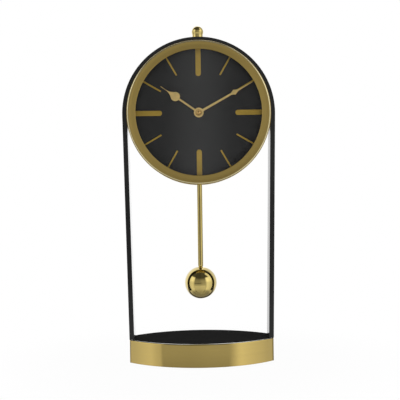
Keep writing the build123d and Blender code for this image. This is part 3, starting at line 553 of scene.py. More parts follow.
def round_the_dial(tree, vector, height, across, along):
    """The vector wound round the dial's axis, so that lines run in circles."""
    parts = tree.nodes.new("ShaderNodeSeparateXYZ")
    tree.links.new(vector, parts.inputs["Vector"])
    up = maths(tree, "SUBTRACT", parts.outputs["Z"], height)
    square = maths(tree, "ADD", maths(tree, "POWER", parts.outputs["X"], 2.0), maths(tree, "POWER", up, 2.0))
    radius = maths(tree, "SQRT", square)
    wound = tree.nodes.new("ShaderNodeCombineXYZ")
    tree.links.new(maths(tree, "MULTIPLY", radius, across), wound.inputs["X"])
    turn_x = maths(tree, "DIVIDE", parts.outputs["X"], radius)
    turn_z = maths(tree, "DIVIDE", up, radius)
    tree.links.new(maths(tree, "MULTIPLY", turn_x, along), wound.inputs["Y"])
    tree.links.new(maths(tree, "MULTIPLY", turn_z, along), wound.inputs["Z"])
    return wound.outputs["Vector"]


def tint(tree, mask, colour, into, dark=0.94, light=1.06):
    """Base colour between a darker and a lighter shade of one colour, by a mask."""
    node = tree.nodes.new("ShaderNodeMix")
    node.data_type = "RGBA"
    node.inputs["A"].default_value = [channel * dark for channel in colour] + [1.0]
    node.inputs["B"].default_value = [min(1.0, channel * light) for channel in colour] + [1.0]
    tree.links.new(mask, node.inputs["Factor"])
    tree.links.new(node.outputs["Result"], into.inputs["Base Color"])


def raise_grain(tree, shader, height, strength, distance):
    """Bump from a height mask."""
    node = tree.nodes.new("ShaderNodeBump")
    node.inputs["Strength"].default_value = strength
    node.inputs["Distance"].default_value = distance
    tree.links.new(height, node.inputs["Height"])
    tree.links.new(node.outputs["Normal"], shader.inputs["Normal"])


# Finishes with plain grain, by their colour: material, metallic, lowest and highest roughness, scale of the grain and
# of the marks, bump.
grained = {
    "bar_black": ("Satin black bar", 0.0, (0.08, 0.13), 2600.0, 30.0, 0.003),
    "dial_black": ("Satin black dial", 0.0, (0.36, 0.44), 3200.0, 24.0, 0.005),
    "marker_gold": ("Satin gold markers", 1.0, (0.46, 0.56), 3000.0, 90.0, 0.05),
    "hand_gold": ("Satin gold hands", 1.0, (0.46, 0.58), 3000.0, 120.0, 0.08),
    "cap_gold": ("Satin gold cap", 1.0, (0.24, 0.34), 3000.0, 120.0, 0.05),
    "polished_gold": ("Polished gold", 1.0, (0.05, 0.10), 1800.0, 60.0, 0.004),
    # The lip's gold is paled as a painted highlight; its low roughness is the real polish.
    "lip_highlight_gold": ("Burnished gold", 1.0, (0.06, 0.12), 1800.0, 60.0, 0.004),
    # The band's rim is paled to near white as a painted highlight.
    "cut_edge": ("Bright cut edge", 1.0, (0.12, 0.20), 2400.0, 90.0, 0.01),
    "steel": ("Bright steel", 1.0, (0.18, 0.30), 2400.0, 150.0, 0.03),
    "zinc": ("Zinc plating", 1.0, (0.28, 0.45), 2200.0, 200.0, 0.05),
    "black_plastic": ("Black moulding", 0.0, (0.42, 0.58), 1800.0, 60.0, 0.14),
    "grey_plastic": ("Grey moulding", 0.0, (0.40, 0.55), 2000.0, 90.0, 0.08),
    "white_plastic": ("White moulding", 0.0, (0.32, 0.46), 2400.0, 120.0, 0.05),
    "board_green": ("Solder mask", 0.0, (0.22, 0.34), 1600.0, 260.0, 0.04),
    "cell_wrap": ("Plain wrapper", 0.0, (0.20, 0.32), 1500.0, 90.0, 0.03),
    "rubber": ("Pad rubber", 0.0, (0.68, 0.85), 2400.0, 150.0, 0.2),
}


def grained_finish(colours, key):
    """Paint, plastic or plating with fine grain, cloudy marks and uneven gloss."""
    name, metallic, rough, scale, mark_scale, bump = grained[key]
    found = bpy.data.materials.get(name)
    if found:
        return found
    finish, tree, shader, place = new_finish(name)
    grain = grain_node(tree, place, scale, mark_scale)
    shader.inputs["Metallic"].default_value = metallic
    tint(tree, grain.outputs["Marks"], getattr(colours, key), shader)
    mixed = maths(tree, "ADD", maths(tree, "MULTIPLY", grain.outputs["Grain"], 0.5),
                  maths(tree, "MULTIPLY", grain.outputs["Marks"], 0.5))
    tree.links.new(remap(tree, mixed, 0.15, 0.85, *rough), shader.inputs["Roughness"])
    raise_grain(tree, shader, grain.outputs["Grain"], strength=bump, distance=0.0001)
    return finish


def lined_finish(name, colour, vector_maker, rough, bump):
    """Metal with fine lines, whose gloss and shade change from line to line."""
    found = bpy.data.materials.get(name)
    if found:
        return found
    finish, tree, shader, place = new_finish(name)
    lines = lines_node(tree, vector_maker(tree, place))
    shader.inputs["Metallic"].default_value = 1.0
    tint(tree, lines.outputs["Streaks"], colour, shader)
    tree.links.new(remap(tree, lines.outputs["Lines"], 0.2, 0.8, *rough), shader.inputs["Roughness"])
    raise_grain(tree, shader, lines.outputs["Lines"], strength=bump, distance=0.00005)
    return finish


def lacquered(finish, roughness):
    """Clear lacquer over a metal."""
    shader = finish.node_tree.nodes["Principled BSDF"]
    shader.inputs["Coat Weight"].default_value = 1.0
    shader.inputs["Coat Roughness"].default_value = roughness
    return finish


def see_through(tree, shader, share):
    """Lets a share of the rays pass straight through a finish."""
    clear = tree.nodes.new("ShaderNodeBsdfTransparent")
    either = tree.nodes.new("ShaderNodeMixShader")
    tree.links.new(share, either.inputs["Fac"])
    tree.links.new(shader.outputs["BSDF"], either.inputs[1])
    tree.links.new(clear.outputs["BSDF"], either.inputs[2])
    tree.links.new(either.outputs["Shader"], tree.nodes["Material Output"].inputs["Surface"])


def deck_paint(colours):
    """Satin black deck with faint lines across, as on a rolled sheet. Polished pieces above it don't mirror it."""
    far_off = 0.042
    finish, tree, shader, place = new_finish("Satin black deck")
    lines = lines_node(tree, stretched(tree, place, (30.0, 900.0, 900.0)))
    shader.inputs["Specular IOR Level"].default_value = 0.01
    tint(tree, lines.outputs["Streaks"], colours.deck_black, shader, dark=0.6, light=1.5)
    tree.links.new(remap(tree, lines.outputs["Lines"], 0.2, 0.8, 0.7, 0.85), shader.inputs["Roughness"])
    raise_grain(tree, shader, lines.outputs["Lines"], strength=0.05, distance=0.0001)
    path = tree.nodes.new("ShaderNodeLightPath")
    far = maths(tree, "GREATER_THAN", path.outputs["Ray Length"], far_off)
    see_through(tree, shader, maths(tree, "MULTIPLY", path.outputs["Is Glossy Ray"], far))
    return finish


def dial_paint(colours):
    """Flat satin black of the dial."""
    finish = grained_finish(colours, "dial_black")
    finish.node_tree.nodes["Principled BSDF"].inputs["Specular IOR Level"].default_value = 0.6
    return finish


def band_metal(colours):
    """Lacquered gold with brush lines that run along the band."""
    def along(tree, place):
        return stretched(tree, place, (25.0, 25.0, 2600.0))
    finish = lined_finish("Brushed gold band", colours.band_gold, along, rough=(0.05, 0.10), bump=0.08)
    return lacquered(finish, roughness=0.08)


def bezel_metal(colours, sizes):
    """Satin gold turned on a lathe, with fine circles round the dial."""
    height = sizes.dial_height

    def rings(tree, place):
        return round_the_dial(tree, place, height, across=3000.0, along=3.0)
    finish = lined_finish("Satin gold bezel", colours.bezel_gold, rings, rough=(0.36, 0.46), bump=0.08)
    tree = finish.node_tree
    shader = tree.nodes["Principled BSDF"]
    if not shader.inputs["Tangent"].is_linked:
        shader.inputs["Anisotropic"].default_value = 0.7
        shader.inputs["Anisotropic Rotation"].default_value = 0.25
        turning = tree.nodes.new("ShaderNodeTangent")
        turning.direction_type = "RADIAL"
        turning.axis = "Y"
        tree.links.new(turning.outputs["Tangent"], shader.inputs["Tangent"])
    return finish


def polished_metal(colours):
    """Lacquered polished gold with faint cloudy marks."""
    return lacquered(grained_finish(colours, "polished_gold"), roughness=0.03)


def wheel_brass(colours):
    """Rolled brass of the centre wheel."""
    def rolled(tree, place):
        return stretched(tree, place, (2600.0, 300.0, 60.0))
    return lined_finish("Rolled brass", colours.train_brass, rolled, rough=(0.24, 0.36), bump=0.08)


def coil_wire(colours, coil_height):
    """Enamelled wire, wound in close rings."""
    def rings(tree, place):
        return round_the_dial(tree, place, coil_height, across=9000.0, along=2.0)
    return lined_finish("Enamelled wire", colours.copper, rings, rough=(0.22, 0.40), bump=0.5)


def clear_glass():
    """Clear window glass that lets the light of the room reach the dial."""
    finish, tree, shader, place = new_finish("Clear glass")
    grain = grain_node(tree, place, scale=300.0, mark_scale=25.0)
    shader.inputs["Base Color"].default_value = (0.97, 0.985, 0.98, 1.0)
    shader.inputs["Transmission Weight"].default_value = 1.0
    shader.inputs["IOR"].default_value = 1.45
    tree.links.new(remap(tree, grain.outputs["Marks"], 0.0, 1.0, 0.0, 0.012), shader.inputs["Roughness"])
    path = tree.nodes.new("ShaderNodeLightPath")
    bounced = maths(tree, "MAXIMUM", path.outputs["Is Diffuse Ray"], path.outputs["Is Glossy Ray"])
    see_through(tree, shader, maths(tree, "MAXIMUM", path.outputs["Is Shadow Ray"], bounced))
    return finish


# Pieces.


class CLOCK_OT_arch(bpy.types.Operator):
    """Bends the flat bar into the arch: its section is swept over the top, then drawn down both legs"""

    bl_idname = "clock.arch"
    bl_label = "Arch"

    def execute(self, context):
        sizes = context.scene.clock_sizes
        finish = grained_finish(context.scene.clock_colours, "bar_black")
        near_end = 0.0004
        drop = sizes.dial_height - sizes.base_height
        lean = atan2(drop, sizes.foot_half_width) - acos(sizes.arch_radius / hypot(drop, sizes.foot_half_width))
        inner = sizes.arch_radius - sizes.bar_thickness
        front = -sizes.bar_depth / 2
        ends = [(radius * cos(lean), sizes.dial_height - radius * sin(lean)) for radius in (sizes.arch_radius, inner)]
        piece = trace("arch", [(x, front, z) for x, z in ends])
        bpy.ops.mesh.extrude_edges_move(TRANSFORM_OT_translate={"value": Vector((0, sizes.bar_depth, 0))})
        bpy.ops.mesh.select_all(action="SELECT")
        middle = (0, 0, sizes.dial_height)
        bpy.ops.mesh.spin(steps=96, angle=pi + 2 * lean, center=middle, axis=(0, 1, 0))
        foot = sizes.base_height - sizes.rim_drop
        length = (ends[0][1] - foot) / cos(lean)
        for side in (1, -1):
            end = Vector((side * (ends[0][0] + ends[1][0]) / 2, 0, (ends[0][1] + ends[1][1]) / 2))
            pick(piece, lambda spot: hypot(spot.x - end.x, spot.z - end.z) < near_end)
            push((side * -sin(lean) * length, 0, -cos(lean) * length))
            bpy.ops.transform.resize(value=(1, 1, 0), center_override=(0, 0, foot))
        seal(piece)
        soften(piece, width=0.00005)
        hand_over(piece, "stand", "black_frame", finish, "arch_frame")
        foot_inner = (inner - drop * sin(lean)) / cos(lean)
        for side, name in ((-1, "tongue_left"), (1, "tongue_right")):
            piece = self.make_tongue(sizes, name, side, foot_inner)
            hand_over(piece, "stand", "black_frame", finish, "arch_frame")
        return {"FINISHED"}

    def make_tongue(self, sizes, name, side, inner):
        """The thin tongue under a leg, bent in at its foot so that it can be screwed to the floor."""
        clearance = 0.0004
        thick = sizes.tongue_thickness
        floor_top = arch_low.z
        outer = inner + thick
        end = inner - sizes.tab_length
        outline = [(end, floor_top), (outer, floor_top), (outer, sizes.base_height), (inner, sizes.base_height)]
        outline += [(inner, floor_top + thick), (end, floor_top + thick)]
        half = sizes.bar_depth / 2 - sizes.band_wall - clearance
        piece = slab(name, [(side * x, -half, z) for x, z in outline], (0, 2 * half, 0))
        return soften(piece, width=0.0003)


class CLOCK_OT_band(bpy.types.Operator):
    """Makes the lens-shaped band of the base, hollowed from a solid block, with its lip and a painted highlight along
    its upper edge
    """

    bl_idname = "clock.band"
    bl_label = "Band"

    def execute(self, context):
        sizes = context.scene.clock_sizes
        colours = context.scene.clock_colours
        corner_cut = 0.414 * sizes.band_corner
        corner_reach = 0.0026
        rim_reach, end_margin = 0.0002, 0.001
        highlight_share, highlight_margin = 0.3, 0.0005
        top = sizes.base_height - sizes.rim_drop
        lip_top = band_low.z + sizes.lip_thickness
        half = (top + band_low.z) / 2
        end_x = band_high.x
        end_y = sizes.bar_depth / 2
        rise = band_high.y - end_y
        radius = (end_x**2 + rise**2) / (2 * rise)
        middle_y = radius - band_high.y
        sweep = atan2(end_x, radius - rise)

        def level_with(height):
            return lambda spot: abs(spot.z - height) < plane_limit

        def upright_corner(spot):
            at_corner = max(abs(abs(spot.x) - end_x), abs(abs(spot.y) - end_y)) < plane_limit
            return at_corner and level_with(half)(spot)

        def outer_rim(spot):
            inside = radius - hypot(spot.x, abs(spot.y) + middle_y)
            return level_with(top)(spot) and inside < rim_reach and abs(spot.y) > end_y + end_margin

        front = arc((0, middle_y), radius, -pi / 2 - sweep, -pi / 2 + sweep, count=72)
        back = [(-x, -y) for x, y in front]
        piece = trace("band", [(x, y, band_low.z) for x, y in front + back])
        bpy.ops.mesh.edge_face_add()
        push((0, 0, top - band_low.z))
        pick(piece, upright_corner, "EDGE")
        bpy.ops.mesh.bevel(offset=corner_cut, segments=4, affect="EDGES")
        pick(piece, level_with(top))
        bpy.ops.mesh.inset(thickness=sizes.band_wall, use_even_offset=True)
        push((0, 0, lip_top - top))
        for side_x in (-1, 1):
            for side_y in (-1, 1):
                corner = Vector((side_x * (end_x - sizes.band_wall), side_y * end_y, lip_top))
                pick(piece, lambda spot: (spot - corner).length < corner_reach and level_with(lip_top)(spot), "VERT")
                bpy.ops.mesh.merge(type="CENTER")
        pick(piece, level_with(lip_top))
        bpy.ops.mesh.inset(thickness=sizes.lip_width, use_even_offset=True)
        push((0, 0, -sizes.lip_thickness))
        pick(piece, level_with(band_low.z))
        bpy.ops.mesh.delete(type="ONLY_FACE")
        pick(piece, level_with(band_low.z), "EDGE")
        bpy.ops.mesh.bridge_edge_loops()
        pick(piece, outer_rim, "EDGE")
        bpy.ops.mesh.bevel(offset=sizes.rim_round, segments=6, affect="EDGES")
        seal(piece)
        soften(piece, width=0.00012)
        hand_over(piece, "stand", "gold_band", band_metal(colours), "base_band")
        # The faces along the band's upper edge take a pale neutral finish: a painted highlight.
        rim_foot = top - sizes.rim_round * highlight_share
        second_finish(piece, grained_finish(colours, "cut_edge"),
                      lambda spot: spot.z > rim_foot and abs(spot.y) > end_y + highlight_margin)
        return {"FINISHED"}


class CLOCK_OT_bezel(bpy.types.Operator):
    """Turns the bezel: flat ring, slope up to a burnished lip whose paler gold is a painted highlight, and the skirt
    that goes into the drum
    """

    bl_idname = "clock.bezel"
    bl_label = "Bezel"

    def execute(self, context):
        sizes = context.scene.clock_sizes
        colours = context.scene.clock_colours
        edge = 0.0003
        past = 2 * plane_limit
        radius = bezel_high.x
        opening = radius - sizes.bezel_width
        plane = bezel_low.y + sizes.bezel_set_back
        glass = plane + sizes.bezel_face
        rest = bezel_high.y - sizes.skirt_length
        skirt_inner = sizes.skirt_radius - sizes.skirt_wall
        crest = radius - sizes.lip_round
        front = plane - sizes.bead_height
        foot = (plane, crest - sizes.bead_width)
        slope = (0, sizes.bead_width)
        section = [(glass, opening), (plane + edge, opening), (plane, opening + edge), foot]
        section += eased(foot, (front, crest), slope, slope, count=10)
        section += arc((front + sizes.lip_round, crest), sizes.lip_round, pi, pi / 2, count=12)[1:]
        section += [(rest, radius), (rest, sizes.skirt_radius), (bezel_high.y, sizes.skirt_radius)]
        section += [(bezel_high.y, skirt_inner), (glass, skirt_inner), (glass, opening)]
        piece = turned_on_dial(sizes, "bezel_ring", section, steps=192)
        hand_over(piece, "stand", "gold_case", bezel_metal(colours, sizes), "bezel")

        # The lip takes a paler gold: a painted highlight on its polished edge.
        def on_lip(spot):
            return hypot(spot.x, spot.z - sizes.dial_height) > crest + past and spot.y < rest - past
        second_finish(piece, grained_finish(colours, "lip_highlight_gold"), on_lip)
        return {"FINISHED"}


class CLOCK_OT_drum(bpy.types.Operator):
    """Smooths the drum of the case"""

    bl_idname = "clock.drum"
    bl_label = "Drum"

    def execute(self, context):
        piece = smoothed_copy("case_drum", "drum")
        finish = bezel_metal(context.scene.clock_colours, context.scene.clock_sizes)
        hand_over(piece, "stand", "gold_case", finish, "case_drum")
        return {"FINISHED"}


class CLOCK_OT_markers(bpy.types.Operator):
    """Makes one thick and one thin marker with soft edges, and sets copies round the dial"""

    bl_idname = "clock.markers"
    bl_label = "Markers"

    def execute(self, context):
        sizes = context.scene.clock_sizes
        finish = grained_finish(context.scene.clock_colours, "marker_gold")
        step = (0, -sizes.marker_height, 0)
        outer = sizes.marker_outer
        half = sizes.quarter_width / 2
        outline = arc((0, outer - sizes.quarter_length + half), half, pi, 2 * pi, count=20)
        outline += [(half, outer), (-half, outer)]
        thick = slab("quarter_marker", [on_dial(sizes, x, up, dial_low.y) for x, up in outline], step)
        soften(thick, width=0.0003, segments=3)
        half = sizes.hour_width / 2
        inner = outer - sizes.hour_length
        corner = 0.35 * half
        outline = [(-half, inner + corner), (-half + corner, inner), (half - corner, inner), (half, inner + corner)]
        outline += [(half, outer), (-half, outer)]
        thin = slab("hour_marker", [on_dial(sizes, x, up, dial_low.y) for x, up in outline], step)
        soften(thin, width=0.00025)
        for hour in range(1, 13):
            first, node = (thin, "hour_markers") if hour % 3 else (thick, "quarter_markers")
            copy = placed_copy(first, f"marker_{hour:02d}", clock_turn(sizes, radians(30 * hour)))
            hand_over(copy, "stand", "gold_marker", finish, node)
        for first in (thick, thin):
            bpy.data.objects.remove(first)
        return {"FINISHED"}


def cut_hand(sizes, name, half_outline, front, back, angle):
    """A hand cut from sheet, from the right half of its outline, drawn from the boss's tail to the tip."""
    points = [on_dial(sizes, x, up, back, angle) for x, up in mirrored(half_outline)]
    return soften(slab(name, points, (0, front - back, 0)), width=0.00018)


class CLOCK_OT_hour_hand(bpy.types.Operator):
    """Cuts the hour hand: boss, thin stem, round bulge and a hollow-sided point"""

    bl_idname = "clock.hour_hand"
    bl_label = "Hour hand"

    def execute(self, context):
        sizes = context.scene.clock_sizes
        stem = sizes.hour_stem / 2
        tip = (0.00035, sizes.hour_reach)
        bulge_end = radians(37)
        half = arc((0, 0), sizes.hour_hub, boss_start, acos(stem / sizes.hour_hub), count=24)
        bulge_start = -acos(stem / sizes.bulge_radius)
        half += arc((0, sizes.bulge_at), sizes.bulge_radius, bulge_start, bulge_end, count=18)
        shoulder = half[-1]
        length = sizes.hour_reach - shoulder[1]
        leaving, arriving = (-0.9 * length, 1.1 * length), (-0.0002, 1.2 * length)
        half += eased(shoulder, tip, leaving, arriving, count=16)
        piece = cut_hand(sizes, "hour_pointer", half, hour_low.y, hour_high.y, sizes.hour_angle)
        finish = grained_finish(context.scene.clock_colours, "hand_gold")
        hand_over(piece, "hour", "gold_polish", finish, "hour_hand")
        return {"FINISHED"}


class CLOCK_OT_minute_hand(bpy.types.Operator):
    """Cuts the minute hand: boss, tapered stem, small leaf and a fine tip"""

    bl_idname = "clock.minute_hand"
    bl_label = "Minute hand"

    def execute(self, context):
        sizes = context.scene.clock_sizes
        stem = 0.00135
        side = sizes.leaf_half
        leaf_start = (0.00115, sizes.leaf_at - 1.5 * side)
        widest = (side, sizes.leaf_at)
        leaf_end = (0.0009, sizes.leaf_at + 2.0 * side)
        tip = (0.0003, sizes.minute_reach)
        half = arc((0, 0), sizes.minute_hub, boss_start, acos(stem / sizes.minute_hub), count=28)
        half += [leaf_start]
        half += eased(leaf_start, widest, (0, 1.4 * side), (0.7 * side, 0.9 * side), count=12)
        half += eased(widest, leaf_end, (-0.7 * side, 1.0 * side), (-0.0002, 2.0 * side), count=14)
        half += [tip]
        piece = cut_hand(sizes, "minute_pointer", half, minute_low.y, minute_high.y, sizes.minute_angle)
        finish = grained_finish(context.scene.clock_colours, "hand_gold")
        hand_over(piece, "minute", "gold_polish", finish, "minute_hand")
        return {"FINISHED"}


class CLOCK_OT_cap(bpy.types.Operator):
    """Turns the cap nut on the minute hand: a flat rim, a groove and a domed button in the middle"""

    bl_idname = "clock.cap"
    bl_label = "Hand cap"

    def execute(self, context):
        edge = 0.00015
        groove = 0.0003
        dome = 0.0007
        rim_thickness = 0.0006
        radius = cap_high.x
        rim = cap_high.y - rim_thickness
        button = 0.47 * radius
        ball = (button**2 + dome**2) / (2 * dome)
        swing = atan2(button, ball - dome)
        section = [(cap_high.y, 0.0), (cap_high.y, radius), (rim + edge, radius), (rim, radius - edge)]
        section += [(rim, 0.85 * radius), (rim + groove, 0.68 * radius), (rim + groove, 0.58 * radius)]
        section += arc((cap_low.y + ball, 0), ball, pi - swing, pi, count=14)
        piece = turned_on_dial(context.scene.clock_sizes, "cap_dome", section, steps=64)
        finish = grained_finish(context.scene.clock_colours, "cap_gold")
        hand_over(piece, "minute", "gold_polish", finish, "hand_cap")
        return {"FINISHED"}


class CLOCK_OT_finial(bpy.types.Operator):
    """Turns the ball finial with its spread foot and its stud"""

    bl_idname = "clock.finial"
    bl_label = "Finial"

    def execute(self, context):
        sizes = context.scene.clock_sizes
        spread = 0.0009
        leaving, arriving = (-0.0006, 0.002), (0.0008, 0.002)
        ball_start = radians(-22)
        radius = finial_high.x
        middle = finial_high.z - radius
        foot = (sizes.neck_radius + spread, sizes.dial_height + sizes.arch_radius)
        neck = (radius * cos(ball_start), middle + radius * sin(ball_start))
        section = [(0.0, finial_low.z), (sizes.stud_radius, finial_low.z), (sizes.stud_radius, foot[1]), foot]
        section += eased(foot, neck, leaving, arriving, count=8)
        section += arc((0, middle), radius, ball_start, pi / 2, count=30)[1:]
        piece = turned_upright("finial_ball", section, steps=72)
        hand_over(piece, "stand", "gold_polish", polished_metal(context.scene.clock_colours), "finial")
        return {"FINISHED"}


class CLOCK_OT_rod(bpy.types.Operator):
    """Turns the pendulum rod with its thread and its chamfered foot, up to the shoulder under the hanger"""

    bl_idname = "clock.rod"
    bl_label = "Pendulum rod"

    def execute(self, context):
        sizes = context.scene.clock_sizes
        chamfer_in, chamfer_up = 0.0007, 0.0016
        edge = 0.0003
        keep = 0.0006
        under_hanger = 0.001
        radius = rod_high.x
        foot = rod_low.z + sizes.thread_length
        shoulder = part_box("pendulum_hanger")[0].z - under_hanger
        section = [(0.0, rod_low.z), (sizes.thread_radius, rod_low.z), (sizes.thread_radius, foot)]
        section += [(radius - chamfer_in, foot), (radius, foot + chamfer_up), (radius, foot + chamfer_up + keep)]
        section += [(radius, shoulder - edge - keep), (radius, shoulder - edge)]
        section += [(radius - edge, shoulder), (0.0, shoulder)]
        piece = turned_upright("rod", section, steps=48)
        hand_over(piece, "pendulum", "gold_polish", polished_metal(context.scene.clock_colours), "pendulum_rod")
        return {"FINISHED"}


class CLOCK_OT_bob(bpy.types.Operator):
    """Turns the ball bob with the flat and the hole that take the rod"""

    bl_idname = "clock.bob"
    bl_label = "Bob"

    def execute(self, context):
        sizes = context.scene.clock_sizes
        clearance, spare_depth = 0.00006, 0.0004
        radius = bob_high.x
        middle = bob_low.z + radius
        top = bob_high.z
        hole = sizes.thread_radius + clearance
        hole_end = top - sizes.thread_length - spare_depth
        section = arc((0, middle), radius, -pi / 2, atan2(top - middle, sizes.bob_flat), count=60)
        section[0] = (0.0, bob_low.z)
        section += [(hole, top), (hole, hole_end), (0.0, hole_end)]
        piece = turned_upright("ball", section, steps=128)
        hand_over(piece, "pendulum", "gold_ball", polished_metal(context.scene.clock_colours), "pendulum_bob")
        return {"FINISHED"}


def make_screw(sizes, length):
    """A pan-head screw with a cross recess, standing on its tip at the origin, head up."""
    head_round = 0.00045
    recess_long, recess_wide, recess_deep = 0.003, 0.0007, 0.0007
    top = length + sizes.head_height
    start_clean()
    bpy.ops.mesh.primitive_cylinder_add(vertices=32, radius=sizes.head_radius, depth=sizes.head_height)
    piece = bpy.context.object
    piece.name = "screw"
    bpy.ops.object.mode_set(mode="EDIT")
    bpy.ops.transform.translate(value=(0, 0, length + sizes.head_height / 2))
    pick(piece, lambda spot: spot.z < length + plane_limit)
    bpy.ops.mesh.inset(thickness=sizes.head_radius - sizes.screw_radius, use_even_offset=True)
    push((0, 0, -length))
    pick(piece, lambda spot: spot.z > top - plane_limit)
    bpy.ops.mesh.bevel(offset=head_round, segments=3, affect="EDGES")
    bpy.ops.object.mode_set(mode="OBJECT")
    for width, depth in ((recess_long, recess_wide), (recess_wide, recess_long)):
        start_clean()
        bpy.ops.mesh.primitive_cube_add(size=1, location=(0, 0, top))
        cutter = bpy.context.object
        cutter.scale = (width, depth, 2 * recess_deep)
        bpy.ops.object.transform_apply(location=True, rotation=True, scale=True)
        select_only(piece)
        cut = piece.modifiers.new("Recess", "BOOLEAN")
        cut.operation = "DIFFERENCE"
        cut.object = cutter
        bpy.ops.object.modifier_apply(modifier=cut.name)
        bpy.data.objects.remove(cutter)
    return seal(piece)


class CLOCK_OT_screws(bpy.types.Operator):
    """Makes the screws under the floor and on the back cover, each with a cross recess"""

    bl_idname = "clock.screws"
    bl_label = "Screws"

    def execute(self, context):
        sizes = context.scene.clock_sizes
        finish = grained_finish(context.scene.clock_colours, "zinc")
        turn_by_side, turn_by_height = 0.5, 0.2
        sides = ((-1, "left"), (1, "right"))
        screw = make_screw(sizes, base_screw_high.z - base_screw_low.z - sizes.head_height)
        tab_x = base_screw_high.x - sizes.head_radius
        post_y = base_screw_high.y - sizes.head_radius
        head_down = Matrix.Rotation(pi, 4, "X")
        for side_x, side in sides:
            for side_y, end in ((-1, "front"), (1, "back")):
                for label, x, y in (("tab", tab_x, sizes.tab_screw_y), ("post", sizes.post_x, post_y)):
                    place = Matrix.Translation((side_x * x, side_y * y, base_screw_high.z)) @ head_down
                    copy = placed_copy(screw, f"{label}_screw_{side}_{end}", place)
                    hand_over(copy, "stand", "zinc_steel", finish, "base_screws")
        bpy.data.objects.remove(screw)
        screw = make_screw(sizes, cover_screw_high.y - cover_screw_low.y - sizes.head_height)
        reach = cover_screw_high.x - sizes.head_radius
        head_back = Matrix.Rotation(-pi / 2, 4, "X")
        for side_x, side in sides:
            for side_z, end in ((-1, "low"), (1, "high")):
                spot = (side_x * reach, cover_screw_low.y, sizes.dial_height + side_z * reach)
                turn = Matrix.Rotation(turn_by_side * side_x + turn_by_height * side_z, 4, "Z")
                copy = placed_copy(screw, f"cover_screw_{side}_{end}", Matrix.Translation(spot) @ head_back @ turn)
                hand_over(copy, "stand", "zinc_steel", finish, "cover_screws")
        bpy.data.objects.remove(screw)
        return {"FINISHED"}


class CLOCK_OT_pads(bpy.types.Operator):
    """Turns one rubber pad with a rounded foot and a shallow dish, and sets six of them"""

    bl_idname = "clock.pads"
    bl_label = "Pads"

    def execute(self, context):
        sizes = context.scene.clock_sizes
        finish = grained_finish(context.scene.clock_colours, "rubber")
        dish, dish_rim, dish_edge = 0.0003, 0.0022, 0.0017
        foot_round = 0.0006
        radius = sizes.pad_radius
        section = [(0.0, dish), (radius - dish_rim, dish), (radius - dish_edge, 0.0)]
        section += arc((radius - foot_round, foot_round), foot_round, -pi / 2, 0.0, count=6)
        section += [(radius, pad_high.z), (0.0, pad_high.z)]
        pad = turned_upright("pad", section, steps=40)
        end_x = pad_high.x - radius
        front_y = pad_high.y - radius
        places = [(side_x * sizes.pad_front_x, side_y * front_y) for side_x in (-1, 1) for side_y in (-1, 1)]
        places += [(-end_x, 0), (end_x, 0)]
        for number, (x, y) in enumerate(places, 1):
            copy = placed_copy(pad, f"pad_{number}", Matrix.Translation((x, y, 0)))
            hand_over(copy, "stand", "pad_rubber", finish, "foot_pads")
        bpy.data.objects.remove(pad)
        return {"FINISHED"}


class CLOCK_OT_knob(bpy.types.Operator):
    """Cuts the fluted setting knob at the back"""

    bl_idname = "clock.knob"
    bl_label = "Setting knob"

    def execute(self, context):
        flutes, flute_depth, corners = 16, 0.0004, 128
        rim, dish = 0.0011, 0.0005
        middle_x = (knob_low.x + knob_high.x) / 2
        middle_z = (knob_low.z + knob_high.z) / 2
        radius = (knob_high.x - knob_low.x) / 2
        outline = []
        for step in range(corners):
            angle = 2 * pi * step / corners
            out = radius - flute_depth * (0.5 - 0.5 * cos(flutes * angle)) ** 2
            outline.append((middle_x + out * cos(angle), knob_low.y, middle_z + out * sin(angle)))
        piece = trace("knob", outline)
        bpy.ops.mesh.edge_face_add()
        push((0, knob_high.y - knob_low.y, 0))
        pick(piece, lambda spot: spot.y > knob_high.y - plane_limit)
        bpy.ops.mesh.inset(thickness=rim, use_even_offset=True)
        push((0, -dish, 0))
        seal(piece)
        soften(piece, width=0.0002)
        finish = grained_finish(context.scene.clock_colours, "black_plastic")
        hand_over(piece, "setting", "black_plastic", finish, "setting_knob")
        return {"FINISHED"}


